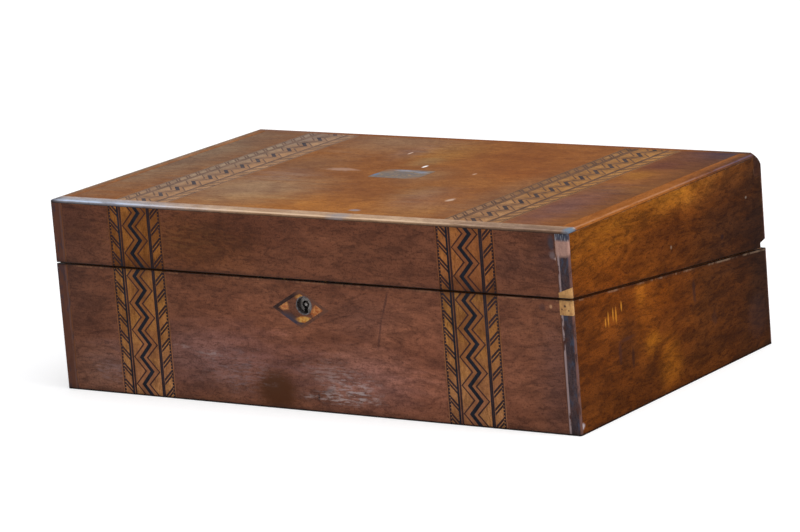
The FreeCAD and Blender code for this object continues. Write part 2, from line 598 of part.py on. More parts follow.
# ---- fittings inside the base ------------------------------------------------------------------------
PARTITION_Y = "(%s + tray_wide)" % INNER_FRONT
FLAP_UNDER = "((flap_sink + flap_thick)/cos(seam_angle*1deg))"
PARTITION_TOP = "(%s - %s - flap_rest_gap)" % (seam_at(PARTITION_Y + " + partition_thick"), FLAP_UNDER)
part(box("tray_partition", (INNER_LEFT, PARTITION_Y, "bottom_thick"),
         (INNER_LONG, "partition_thick", PARTITION_TOP + " - bottom_thick")))
tray_start = "(%s + cell_long + divider_thick - tray_dado)" % INNER_LEFT
tray_blank = box("tray_blank", (tray_start, INNER_FRONT, "tray_top - tray_thick"),
                 ("-2*" + tray_start, "tray_wide", "tray_thick"))
scoop = rod("tray_scoop", ("%s + tray_dado + divider_thick" % tray_start, "%s + tray_wide/2" % INNER_FRONT,
                           "tray_top + scoop_radius - scoop_deep"),
            "scoop_radius", "-2*(%s + tray_dado + divider_thick)" % tray_start, "x")
part(cut("pen_tray", tray_blank, scoop))
for side, sx in SIDES.items():
    x = "%s + cell_long" % INNER_LEFT if sx < 0 else "-%s - cell_long - divider_thick" % INNER_LEFT
    divider = box("divider_" + side, (x, INNER_FRONT, "bottom_thick"),
                  ("divider_thick", "tray_wide", "divider_top - bottom_thick"))
    part(cut("tray_divider_" + side, divider, tray_blank))

# square glass ink bottle with a brass screw cap, standing in the left cell
bottle_x = "(%s + cell_long/2)" % INNER_LEFT
bottle_y = "(%s + tray_wide/2)" % INNER_FRONT
bottle_body = rounded_plate("bottle_body", "bottle_side", "bottle_side", "bottle_tall", "bottle_round")
place(bottle_body, (bottle_x, bottle_y, "bottom_thick"))
neck = rod("bottle_neck", (bottle_x, bottle_y, "bottom_thick + bottle_tall - bottle_wall"),
           "neck_radius", "neck_tall + bottle_wall")
bottle_inner = "(bottle_side - 2*bottle_wall)"
bottle_room = box("bottle_room",
                  ("%s - %s/2" % (bottle_x, bottle_inner), "%s - %s/2" % (bottle_y, bottle_inner),
                   "bottom_thick + bottle_wall"),
                  (bottle_inner, bottle_inner, "bottle_tall - 2*bottle_wall"))
neck_bore = rod("neck_bore_rod", (bottle_x, bottle_y, "bottom_thick + bottle_tall - 2*bottle_wall"),
                "neck_bore", "neck_tall + 2*bottle_wall")
part(cut("ink_bottle", join("bottle_glass", bottle_body, neck), bottle_room, neck_bore))
cap_low = "bottom_thick + bottle_tall + cap_lift"
cap_outer = rod("cap_outer", (bottle_x, bottle_y, cap_low), "cap_radius", "cap_tall")
cap_room = rod("cap_room", (bottle_x, bottle_y, cap_low), "neck_radius + cap_play",
               "neck_tall - cap_lift + cap_play")
part(cut("ink_cap", cap_outer, cap_room))

# ---- boards with everything let into them -----------------------------------------------------------
liner_seat = rod("liner_seat", liner_centre, "liner_radius", "wall - lock_thick", "y")
selvedge_seat = box("selvedge_seat", ("key_x - selvedge_long/2", INNER_FRONT + " - selvedge_wide", LOCK_TOP),
                    ("selvedge_long", "selvedge_wide", "selvedge_thick + lock_drop"))
striker_seat = box("striker_seat", ("key_x - selvedge_long/2", INNER_FRONT + " - selvedge_wide", LOCK_TOP),
                   ("selvedge_long", "selvedge_wide",
                    "selvedge_thick + lock_drop + seam_gap/2 + striker_thick"))
part(cut("base_front_board", common("front_in_base", front_board, base_zone), *front_bands, diamond,
         liner_seat, lock_body, selvedge_seat, *lock_screws))
part(cut("lid_front_board", common("front_in_lid", front_board, lid_zone), *front_bands,
         striker_seat, *striker_screws))
part(cut("base_back_board", common("back_in_base", back_board, base_zone), *hinge_rooms_base, *base_screws))
part(cut("lid_back_board", common("back_in_lid", back_board, lid_zone), *hinge_rooms_lid, *lid_screws,
         mask_chip))
for n, side in enumerate(SIDES):
    for half, zone in (("base", base_zone), ("lid", lid_zone)):
        sawn = common("%s_in_%s" % (side, half), side_stuff[side], zone)
        chips = [mask_chip] if half + side == "lidright" else []
        part(cut("%s_%s_board" % (half, side), sawn, wall_pin_holes[half][n], *chips))
part(box("base_bottom_board", (INNER_LEFT, INNER_FRONT, "0"),
         (INNER_LONG, "box_depth - 2*wall", "bottom_thick")))
top_blank = box("top_blank", (INNER_LEFT, INNER_FRONT, "box_height - top_thick"),
                (INNER_LONG, "box_depth - 2*wall", "top_thick"))
part(cut("lid_top_board", common("top_rounded", top_blank, envelope), *top_bands, cartouche))
flap_top = "(flap_sink + flap_thick)/cos(seam_angle*1deg)"
part(box("lid_flap_ledge",
         (INNER_LEFT + " + ledge_short", INNER_FRONT,
          "%s + %s + flap_rest_gap" % (seam_at(INNER_FRONT), flap_top)),
         (INNER_LONG + " - 2*ledge_short", "ledge_wide", "ledge_tall")))

# ---- finish: recompute, check and write -------------------------------------------------------------
doc.recompute()
for obj in doc.Objects:
    if "Invalid" in obj.State or "Error" in obj.State:
        raise RuntimeError("failed: %s %s" % (obj.Name, obj.State))
labels = [obj.Label for obj in PARTS]
if len(labels) != len(set(labels)) or len(labels) > 60:
    raise RuntimeError("labels: %d" % len(labels))
for obj in PARTS:
    if obj.Shape.isNull() or not obj.Shape.isValid() or not obj.Shape.Solids:
        raise RuntimeError("bad shape: " + obj.Label)
os.makedirs("parts", exist_ok=True)
for obj in PARTS:
    obj.Shape.exportStep("parts/%s.step" % obj.Label)
    print("%-28s %2d solid(s) %10.1f mm3" % (obj.Label, len(obj.Shape.Solids), obj.Shape.Volume))
print(len(PARTS), "nodes")
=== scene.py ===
import math
import random

import bpy
from mathutils import Matrix, Vector


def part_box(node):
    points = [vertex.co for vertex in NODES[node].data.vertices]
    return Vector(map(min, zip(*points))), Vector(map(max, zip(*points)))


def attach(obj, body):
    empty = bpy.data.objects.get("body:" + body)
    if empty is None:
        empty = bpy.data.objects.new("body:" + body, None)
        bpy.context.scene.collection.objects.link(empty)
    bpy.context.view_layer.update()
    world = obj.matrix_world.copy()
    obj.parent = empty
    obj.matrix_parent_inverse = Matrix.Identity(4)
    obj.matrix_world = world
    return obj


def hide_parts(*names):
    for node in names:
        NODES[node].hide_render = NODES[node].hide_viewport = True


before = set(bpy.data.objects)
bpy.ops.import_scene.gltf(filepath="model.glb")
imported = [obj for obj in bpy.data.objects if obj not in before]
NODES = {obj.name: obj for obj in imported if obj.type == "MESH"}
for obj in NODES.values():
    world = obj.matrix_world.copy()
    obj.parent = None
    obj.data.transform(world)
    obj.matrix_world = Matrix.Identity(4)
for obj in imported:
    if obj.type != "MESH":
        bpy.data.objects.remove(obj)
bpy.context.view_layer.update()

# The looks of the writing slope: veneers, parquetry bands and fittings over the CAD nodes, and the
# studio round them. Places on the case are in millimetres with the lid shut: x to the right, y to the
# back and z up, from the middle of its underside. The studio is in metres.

MM = 0.001
rng = random.Random(1870)

# outer planes of the closed case, from the model itself
LEFT, FRONT, _ = (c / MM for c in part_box("lid_edge_front")[0])
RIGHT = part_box("lid_edge_front")[1][0] / MM
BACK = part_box("lid_edge_back")[1][1] / MM
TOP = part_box("lid_top_board")[1][2] / MM
# two points (y, z) of the base's sawn edge, at the front and at the inside of the back board
SEAM_POINTS = ((FRONT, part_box("base_front_board")[1][2] / MM),
               (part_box("base_back_board")[0][1] / MM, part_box("base_back_board")[1][2] / MM))
SEAM_GAP = 0.9
LOCK_HEIGHT = SEAM_POINTS[0][1] - 16.5  # middle of the keyhole
# how far from the middle the corner strips begin
STRIP_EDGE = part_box("base_corner_front_right")[0][0] / MM
VENEER = 1.3  # thickness
VENEER_PORES = 0.35
DEEP = 9.0  # how far a patch on a face reaches into the wood


def srgb(r, g, b):
    """A colour picked in 8-bit sRGB, as linear RGBA."""
    def linear(c):
        c /= 255
        return c / 12.92 if c <= 0.04045 else ((c + 0.055) / 1.055) ** 2.4
    return (linear(r), linear(g), linear(b), 1.0)


def gain(r, g, b):
    """Factors on the 8-bit values of a colour, as factors on its linear values."""
    return (r ** 2.2, g ** 2.2, b ** 2.2, 1.0)


def dimmed(colour, factor):
    return tuple(factor * c for c in colour[:3]) + (1.0,)


# near-black of the painted shade in the seam, at the foot of the case and at the foot of the edging
SHADE_COLOUR = srgb(20, 12, 9)

# ---- node building -----------------------------------------------------------------------------


def along(grain, across, ratio=1.0):
    """Scales for a texture with the given cycles per mm across the grain, stretched along it."""
    return tuple(across * (ratio * 0.2 if axis == grain else 1.0) for axis in "XYZ")


# sockets of a Mix node that blends colours
MIX_FACTOR, MIX_A, MIX_B, MIX_RESULT = 0, 6, 7, 2


class Nodes:
    """A node tree that is made by short calls. A value is a number, a tuple or a socket."""

    def __init__(self, tree, output):
        self.tree = tree
        self.tree.nodes.clear()
        self.output = self.tree.nodes.new(output)
        self.kept = {}

    def show(self, shader):
        self.tree.links.new(shader, self.output.inputs["Surface"])

    def once(self, key, make):
        """A socket that is made the first time and shared after that."""
        if key not in self.kept:
            self.kept[key] = make()
        return self.kept[key]

    def put(self, socket, value):
        if isinstance(value, bpy.types.NodeSocket):
            self.tree.links.new(value, socket)
        elif value is not None:
            socket.default_value = value

    def node(self, kind, out=0, settings=None, **inputs):
        """Adds a node and gives one of its outputs. Inputs go by name, or by number as i0 and i1."""
        made = self.tree.nodes.new("ShaderNode" + kind)
        for key, value in (settings or {}).items():
            setattr(made, key, value)
        for key, value in inputs.items():
            self.put(made.inputs[int(key[1:]) if key[0] == "i" and key[1:].isdigit() else key], value)
        return made.outputs[out]

    def math(self, op, a, b=0.0):
        return self.node("Math", 0, {"operation": op}, i0=a, i1=b)

    def vector(self, op, a, b=None, out="Vector", **inputs):
        return self.node("VectorMath", out, {"operation": op}, i0=a, i1=b, **inputs)

    def times(self, a, b):
        return self.math("MULTIPLY", a, b)

    def plus(self, a, b):
        return self.math("ADD", a, b)

    def distance(self, a, b):
        return self.math("ABSOLUTE", self.math("SUBTRACT", a, b))

    def either(self, a, b):
        return self.math("MAXIMUM", a, b)

    def mix(self, fac, a, b, blend="MIX"):
        made = self.tree.nodes.new("ShaderNodeMix")
        made.data_type = "RGBA"
        made.blend_type = blend
        made.clamp_factor = True
        self.put(made.inputs[MIX_FACTOR], fac)
        self.put(made.inputs[MIX_A], a)
        self.put(made.inputs[MIX_B], b)
        return made.outputs[MIX_RESULT]

    def over(self, tone, colour, mask, amount):
        """Lays a colour over a tone where the mask is 1, as strongly as the amount."""
        return self.mix(self.times(mask, amount), tone, colour)

    def span(self, value, low, high, to_low=0.0, to_high=1.0):
        """Maps low..high to to_low..to_high with smooth ends."""
        return self.node("MapRange", 0, {"interpolation_type": "SMOOTHSTEP"}, i0=value, i1=low, i2=high,
                         i3=to_low, i4=to_high)

    def place(self):
        """Millimetres in the row frame, fixed to the piece."""
        return self.once("place", lambda: self.vector("SCALE", self.node("TexCoord", "Object"), Scale=1 / MM))

    def axis(self, letter):
        return self.once(letter, lambda: self.node("SeparateXYZ", "XYZ".index(letter), None, i0=self.place()))

    def facing(self, letter):
        """The surface's own normal along one axis of the piece."""
        return self.node("SeparateXYZ", "XYZ".index(letter), None, i0=self.node("TexCoord", "Normal"))

    def stretch(self, factors, shift=(0, 0, 0), source=None):
        return self.node("Mapping", Vector=source or self.place(), Scale=factors, Location=shift)

    def noise(self, vector, scale=1.0, detail=3.0, rough=0.5, warp=0.0):
        return self.node("TexNoise", 0, {"normalize": True}, Vector=vector, Scale=scale, Detail=detail,
                         Roughness=rough, Distortion=warp)

    def ragged_edge(self, grain):
        """Noise that frays the outlines of patches, with long fibres where a grain is given."""
        if grain:
            fibres = along(grain, 0.22, 0.9)
            return self.once("fray" + grain, lambda: self.noise(self.stretch(fibres), 1.0, 5.0, 0.65))
        return self.once("fray", lambda: self.noise(self.place(), 0.3, 4.0, 0.6))

    def spot(self, centre, radii, soft=0.5, ragged=0.0, grain="", turn=0.0):
        """1 inside an ellipsoid with the given centre and radii (mm), falling to 0 outside it."""
        moved = self.vector("SUBTRACT", self.place(), centre)
        if turn:
            moved = self.node("VectorRotate", 0, {"rotation_type": "AXIS_ANGLE"}, Vector=moved,
                              Axis=(0, 1, 0) if centre[1] == FRONT else (1, 0, 0), Angle=turn)
        far = self.vector("LENGTH", self.vector("DIVIDE", moved, radii), None, "Value")
        if ragged:
            far = self.plus(far, self.times(self.plus(self.ragged_edge(grain), -0.5), ragged * 2))
        return self.span(far, 1.0 - soft, 1.0 + soft * 0.3, 1.0, 0.0)

    def tint(self, tone, features, grain=""):
        """Multiplies a colour by each feature's factors inside its soft patch."""
        for centre, radii, factors, strength, ragged, turn in features:
            mask = self.spot(centre, radii, 0.95, ragged, grain, turn)
            tone = self.mix(self.times(mask, strength), tone, factors, "MULTIPLY")
        return tone

    def cover(self, tone, features, soft=0.6):
        """Covers a colour by each feature's own colour inside its patch."""
        for centre, radii, colour, strength, ragged, turn in features:
            tone = self.over(tone, colour, self.spot(centre, radii, soft, ragged, turn=turn), strength)
        return tone

    def edge_wear(self, radius):
        """1 on sharp outer edges, 0 on flats."""
        rounded = self.node("Bevel", 0, {"samples": 4}, Radius=radius * MM)
        flat = self.node("NewGeometry", "Normal")
        same = self.vector("DOT_PRODUCT", rounded, flat, "Value")
        return self.span(self.math("SUBTRACT", 1.0, same), 0.02, 0.25)

    def softened(self, radius):
        """Normals that round the sharp edges of a piece."""
        return self.node("Bevel", 0, {"samples": 3}, Radius=radius * MM)

    def bump(self, height, strength, distance, normal=None):
        return self.node("Bump", Strength=strength, Distance=distance * MM, Height=height,
                         Normal=normal)


class Shader(Nodes):
    """A material."""

    def __init__(self, name):
        self.material = bpy.data.materials.new(name)
        self.material.use_nodes = True
        super().__init__(self.material.node_tree, "ShaderNodeOutputMaterial")

    def finish(self, colour, roughness, normal, **fixed):
        """Closes the material with a principled surface."""
        bsdf = self.tree.nodes.new("ShaderNodeBsdfPrincipled")
        self.put(bsdf.inputs["Base Color"], colour)
        self.put(bsdf.inputs["Roughness"], roughness)
        self.put(bsdf.inputs["Normal"], normal)
        if fixed.get("Coat Weight"):
            self.put(bsdf.inputs["Coat Normal"], normal)
        for key, value in fixed.items():
            bsdf.inputs[key].default_value = value
        self.show(bsdf.outputs["BSDF"])
        return self.material


def polished(weight, roughness=0.22):
    return {"Coat Weight": weight, "Coat Roughness": roughness, "Specular IOR Level": 0.0}


def grained(s, grain, dark, mid, light, seed, rings, streak, pores, fleck, short=1.0):
    """Figured veneer: colour and height from clouds, growth rings, streaks, flecks and pores. A larger
    short makes the marks less long in the grain."""
    drift = s.noise(s.stretch(along(grain, 0.02, 2.0), (seed, seed * 1.7, seed)), 1.0, 3.0, 0.55)
    bend = s.vector("SCALE", s.node("CombineXYZ", X=drift, Y=drift, Z=drift), Scale=26.0)
    bent = s.vector("ADD", s.place(), bend)
    cloud = s.noise(s.stretch(along(grain, 0.045, 2.2 * short), (seed * 3, 4, seed)), 1.0, 5.0, 0.6, 0.6)
    figure = s.noise(s.stretch(along(grain, 0.17, 1.6 * short), (3, seed, seed * 2), bent),
                     1.0, 6.0, 0.7, 0.5)
    flecks = s.noise(s.stretch(along(grain, 0.8, 1.3 * short), (seed, 1, 8), bent), 1.0, 4.0, 0.65)
    ticks = s.noise(s.stretch(along(grain, 1.9, 0.9), (7, seed, 3), bent), 1.0, 2.0, 0.5)
    speck = s.noise(s.stretch((1.3, 1.3, 1.3), (seed, 2, 2)), 1.0, 3.0, 0.7)
    ring = s.math("PINGPONG", s.times(drift, 26.0), 1.0)
    tone = s.mix(s.span(cloud, 0.3, 0.72), mid, light)
    tone = s.over(tone, dark, s.span(figure, 0.6, 0.36), streak)
    tone = s.over(tone, dark, s.span(flecks, 0.5, 0.32), fleck)
    tone = s.over(tone, light, s.span(flecks, 0.55, 0.72), fleck * 0.55)
    tone = s.over(tone, dark, s.span(speck, 0.52, 0.3), fleck)
    tone = s.over(tone, light, s.span(speck, 0.54, 0.72), fleck * 0.6)
    tone = s.over(tone, dark, s.span(ring, 0.3, 0.0), rings)
    pore = s.span(ticks, 0.6, 0.72)
    tone = s.over(tone, dimmed(dark, 0.3), pore, pores)
    height = s.plus(s.times(flecks, 0.5), s.times(pore, -0.8))
    return tone, height, figure


def outside_mask(s, skin=VENEER):
    """1 within a skin of the case's outer planes, 0 in the wood behind it."""
    out_x = s.math("GREATER_THAN", s.math("ABSOLUTE", s.axis("X")), RIGHT - skin)
    out_y = s.math("GREATER_THAN", s.math("ABSOLUTE", s.axis("Y")), BACK - skin)
    out_z = s.math("GREATER_THAN", s.axis("Z"), TOP - skin)
    return s.either(s.either(out_x, out_y), out_z)


def from_seam(s):
    """Height above the base's sawn edge, in millimetres."""
    low, high = SEAM_POINTS
    slope = (high[1] - low[1]) / (high[0] - low[0])
    line = s.plus(s.times(s.axis("Y"), slope), low[1] - slope * low[0])
    return s.math("SUBTRACT", s.axis("Z"), line)


def painted_seam_and_foot_shade(s, tone):
    """Painted shade on the outer faces only: dark lines in the seam and at the foot of the case, softer
    beside them.
    """
    out = outside_mask(s, 0.5)
    near = s.distance(from_seam(s), SEAM_GAP / 2)
    wavy = s.times(s.plus(s.ragged_edge(""), -0.5), 0.5)
    gap = s.span(s.plus(near, wavy), SEAM_GAP / 2 + 0.16, SEAM_GAP / 2 + 0.512, 1.0, 0.0)
    foot = s.span(s.plus(s.axis("Z"), wavy), 0.5, 1.4, 1.0, 0.0)
    soft_shade = s.times(s.either(s.span(near, 0.6, 3.2, 1.0, 0.0), s.span(s.axis("Z"), 0.6, 4.0, 1.0, 0.0)), 0.3)
    # painted shade: the dark seam and foot lines, with the softer darkening beside them
    painted_shade = s.either(soft_shade, s.times(s.either(gap, foot), 0.94))
    return s.over(tone, SHADE_COLOUR, painted_shade, out)


def walnut(name, grain, dark, mid, light, seed, tints=(), marks=(), scuffs=(), rings=0.25, streak=0.45,
           gloss=0.42, lip=srgb(150, 104, 74), polish=0.2, chips=0.4, short=1.0, fleck=0.5):
    """French polished veneer over plain carcass wood. Of the features, tints multiply, marks cover and
    scuffs cover in streaks along the grain. lip is the bare wood on worn edges and, with the share
    chips, where the veneer has flaked at the seam."""
    s = Shader(name)
    tone, height, _ = grained(s, grain, dark, mid, light, seed, rings, streak, VENEER_PORES, fleck, short)
    tone = s.tint(tone, tints, grain)
    tone = s.cover(tone, marks)
    age = s.noise(s.stretch((0.05, 0.05, 0.05), (seed, 9, 2)), 1.0, 6.0, 0.7, 1.0)
    rough = s.span(age, 0.3, 0.75, gloss - 0.1, gloss + 0.14)
    rub = s.span(s.noise(s.stretch(along(grain, 0.75, 0.9), (2, 5, seed)), 1.0, 4.0, 0.7), 0.46, 0.62)
    for centre, radii, colour, strength, ragged, turn in scuffs:
        scuff = s.times(s.times(s.spot(centre, radii, 0.8, ragged, turn=turn), rub), strength)
        tone = s.mix(scuff, tone, colour)
        rough = s.plus(rough, s.times(scuff, 0.25))
    worn = s.span(s.noise(s.place(), 0.16, 5.0, 0.7), 0.47, 0.62)
    tone = s.over(tone, lip, s.times(s.edge_wear(0.8), worn), 0.75)
    tone = painted_seam_and_foot_shade(s, tone)
    flaked = s.span(s.noise(s.stretch((0.09, 0.09, 0.02)), 1.0, 6.0, 0.75), 0.46, 0.6)
    chipped = s.times(s.span(s.distance(from_seam(s), -0.75), 0.75, 0.3), flaked)
    tone = s.over(tone, lip, chipped, chips)
    core, _, _ = grained(s, grain, srgb(92, 56, 34), srgb(128, 84, 54), srgb(150, 104, 70), seed + 5,
                         rings=0.15, streak=0.3, pores=0.2, fleck=0.3)
    outer = outside_mask(s)
    tone = s.mix(outer, core, tone)
    rough = s.plus(s.times(outer, -0.2), s.plus(rough, 0.2))
    normal = s.bump(height, 0.25, 0.08, s.bump(age, 0.06, 0.5, s.softened(0.45)))
    return s.finish(tone, rough, normal, **polished(polish, 0.24))


def patch(centre, radii, colour, strength=1.0, ragged=0.4, turn=0.0):
    """A feature: an ellipsoid with its colour or factors, how strong and how ragged it is, and its turn."""
    return centre, radii, colour, strength, ragged, turn


def on_front(x, z, wide, tall, *look):
    return patch((x, FRONT, z), (wide, DEEP, tall), *look)


def on_right(y, z, wide, tall, *look):
    return patch((RIGHT, y, z), (DEEP, wide, tall), *look)


def on_top(x, y, long, wide, *look):
    return patch((x, y, TOP), (long, wide, DEEP), *look)


front_wood = walnut(
    "walnut_front", "X", srgb(58, 29, 18), srgb(110, 64, 43), srgb(133, 82, 57), 1.0,
    tints=[
        on_front(-178, 76, 50, 80, gain(0.78, 0.79, 0.85), 1.0, 0.3),
        on_front(-75, 92, 55, 24, gain(0.92, 0.88, 0.7), 1.0, 0.3),
        on_front(12, 96, 46, 17, gain(1.09, 1.1, 1.1)),
        on_front(-45, 44, 52, 30, gain(1.12, 1.12, 1.14)),
        # painted light: the next two brighten the lower right of the base
        on_front(66, 18, 60, 18, gain(1.07, 1.08, 1.12)),
        on_front(70, 34, 110, 52, gain(1.14, 1.14, 1.18)),
        # painted shade: darker along the top of the front, under the edging
        on_front(0, 114, 400, 38, gain(0.87, 0.84, 0.83), 1.0, 0.3),
        on_front(38, 56, 28, 15, gain(0.9, 0.92, 0.98), 1.0, 0.5),
        # painted reflection: the next three lay a bluish haze low on the front
        on_front(-72, 26, 75, 24, gain(1.0, 1.11, 1.38)),
        on_front(-146, 12, 30, 20, gain(1.14, 1.28, 1.45), 0.9, 0.5),
        on_front(28, 20, 50, 22, gain(1.06, 1.16, 1.34)),
        on_front(164, 30, 16, 44, gain(0.84, 0.88, 1.0), 1.0, 0.5),
        on_front(166, 100, 14, 20, gain(0.9, 0.94, 1.08)),
        on_front(140, 92, 22, 12, gain(0.92, 0.93, 0.98), 1.0, 0.6),
    ],
    marks=[
        # painted reflection: the next two are a dark patch low on the front, where something dark is mirrored
        # in the polish
        on_front(-24, 10, 17, 13.5, srgb(73, 37, 12), 0.98, 0.22),
        on_front(-26, 15, 8, 7, srgb(74, 42, 22), 0.5, 0.5),
        on_front(4.3, 8.5, 0.6, 2.6, srgb(30, 20, 20), 0.85, 0.1),
        on_front(161.5, 70.5, 1.1, 1.2, srgb(176, 132, 96), 0.8, 0.1),
        on_front(156.0, 70.0, 2.4, 2.2, srgb(52, 36, 40), 0.5, 0.6),
        on_front(54, 65, 0.9, 10, srgb(52, 30, 30), 0.55, 0.3, -0.32),
        on_front(48.9, 47.5, 0.9, 11, srgb(52, 30, 30), 0.5, 0.3, -0.2),
        on_front(164.4, 105.5, 2.2, 4.4, srgb(58, 54, 62), 0.75, 0.5),
        on_front(164.8, 98.8, 2.4, 3.0, srgb(112, 98, 100), 0.6, 0.8),
        on_front(167.2, 96.8, 1.8, 1.0, srgb(176, 154, 148), 0.6, 0.8),
    ],
    scuffs=[
        on_front(27, 15, 20, 9, srgb(168, 152, 150), 0.7, 0.6),
        on_front(12, 24, 20, 8, srgb(146, 120, 114), 0.5, 0.8),
        on_front(20, 9, 32, 4, srgb(170, 154, 150), 0.6, 0.6),
        on_front(-50, 20, 26, 14, srgb(132, 112, 112), 0.4, 0.8),
        on_front(-70, 28.5, 12, 3, srgb(152, 130, 126), 0.6, 0.6),
        on_front(-90, 31, 8, 2, srgb(152, 126, 120), 0.6, 0.6),
        on_front(-140, 13, 18, 8, srgb(130, 104, 100), 0.5, 0.8),
        on_front(6, 12.5, 12, 2, srgb(56, 38, 36), 0.5, 0.7),
        on_front(-100, 94, 60, 14, srgb(120, 76, 40), 0.35, 0.8),
    ], rings=0.3, streak=0.5, fleck=0.55)
side_wood = walnut(
    "walnut_side", "Y", srgb(50, 23, 7), srgb(101, 50, 13), srgb(124, 66, 20), 2.6,
    tints=[
        # painted highlight: the next three brighten a golden band along the top of the right side
        on_right(-34, 113, 100, 19, gain(1.26, 1.36, 1.2), 1.0, 0.5),
        on_right(-80, 96, 40, 17, gain(1.16, 1.22, 1.15), 1.0, 0.5),
        on_right(12, 108, 34, 9, gain(1.12, 1.16, 1.1), 0.9, 0.6),
        on_right(-76, 74, 60, 34, gain(1.15, 1.13, 1.0), 1.0, 0.3),
        on_right(-30, 47, 15, 31, gain(1.24, 1.27, 1.12), 1.0, 0.35, 0.2),
        on_right(0, 56, 400, 300, gain(0.95, 0.95, 0.99), 1.0, 0.3),
        on_right(-36, 62, 7, 9, gain(1.25, 1.32, 1.2)),
        on_right(34, 42, 24, 40, gain(0.87, 0.9, 1.0)),
        on_right(-97, 58, 16, 22, gain(0.94, 0.95, 1.0)),
        on_right(102, 60, 22, 60, gain(0.85, 0.93, 1.15)),
        on_right(-8, 56, 12, 8, gain(1.16, 1.16, 1.0), 1.0, 0.5),
        on_right(-26, 32, 9, 8, gain(1.3, 1.4, 1.15)),
        on_right(-10, 14, 74, 22, gain(0.82, 0.83, 0.9)),
        on_right(-9, 17, 14, 16, gain(1.6, 1.7, 1.25)),
        on_right(6, 79, 66, 18, gain(0.88, 0.88, 0.94), 1.0, 0.3),
        on_right(-98, 68, 18, 22, gain(0.88, 0.88, 0.92), 1.0, 0.5),
        on_right(50, 110, 70, 18, gain(1.26, 1.32, 1.32)),
        on_right(-53, 38, 15, 15, gain(0.84, 0.88, 1.05), 1.0, 0.5),
        on_right(-18, 90, 46, 5, gain(0.9, 0.9, 0.95), 1.0, 0.5),
        on_right(112, 50, 92, 130, gain(0.6, 0.68, 1.04), 1.0, 0.3),
        on_right(58, 76, 40, 30, gain(0.84, 0.88, 1.05)),
        on_right(-90, 15, 40, 16, gain(0.9, 0.92, 1.0), 1.0, 0.5),
    ],
    marks=[
        on_right(-47, 29, 1.8, 7, srgb(44, 26, 20), 0.6, 0.4),
        on_right(-60, 34, 2.0, 7, srgb(52, 34, 34), 0.45, 0.5),
        on_right(-52, 41, 9, 1.4, srgb(66, 40, 34), 0.5, 0.5),
        on_right(21.5, 50, 2.0, 8, srgb(44, 30, 28), 0.6, 0.4),
        on_right(42, 30, 3.5, 5, srgb(44, 30, 28), 0.4, 0.6),
        on_right(56, 73.5, 2.0, 1.8, srgb(34, 22, 24), 0.7, 0.3),
        on_right(90, 20, 13, 14, srgb(54, 40, 42), 0.25, 0.4),
        on_right(0, 80, 1.0, 1.2, srgb(140, 120, 100), 0.5, 0.2),
        on_right(85, 90, 1.2, 0.9, srgb(130, 116, 104), 0.6, 0.2),
        on_right(-103, 5, 2.2, 2.2, srgb(176, 166, 170), 0.85, 0.5),
    ] + [on_right(y, z, 0.8, tall, srgb(190, 124, 40), 0.75, 0.3)
         for y, z, tall in ((-73, 55, 3), (-70, 56, 5), (-65, 57.5, 4), (-62, 56.5, 5), (-56, 60, 3))],
    rings=0.2, streak=0.6, polish=0.045, chips=0.45, lip=srgb(140, 116, 96), fleck=0.6)
left_wood = walnut(
    "walnut_left", "Y", srgb(50, 25, 10), srgb(104, 57, 22), srgb(128, 74, 30), 7.3,
    tints=[patch((LEFT, 70, 60), (DEEP, 70, 90), gain(0.8, 0.84, 1.0)),
           patch((LEFT, -50, 100), (DEEP, 60, 24), gain(1.15, 1.18, 1.1), 1.0, 0.5)],
    rings=0.25, polish=0.08)
back_wood = walnut(
    "walnut_back", "X", srgb(50, 26, 15), srgb(94, 54, 32), srgb(116, 70, 42), 4.9,
    tints=[patch((60, BACK, 30), (80, DEEP, 40), gain(1.15, 1.15, 1.1), 1.0, 0.5),
           patch((-120, BACK, 70), (60, DEEP, 50), gain(0.85, 0.88, 1.0), 1.0, 0.5)],
    rings=0.3, polish=0.08)
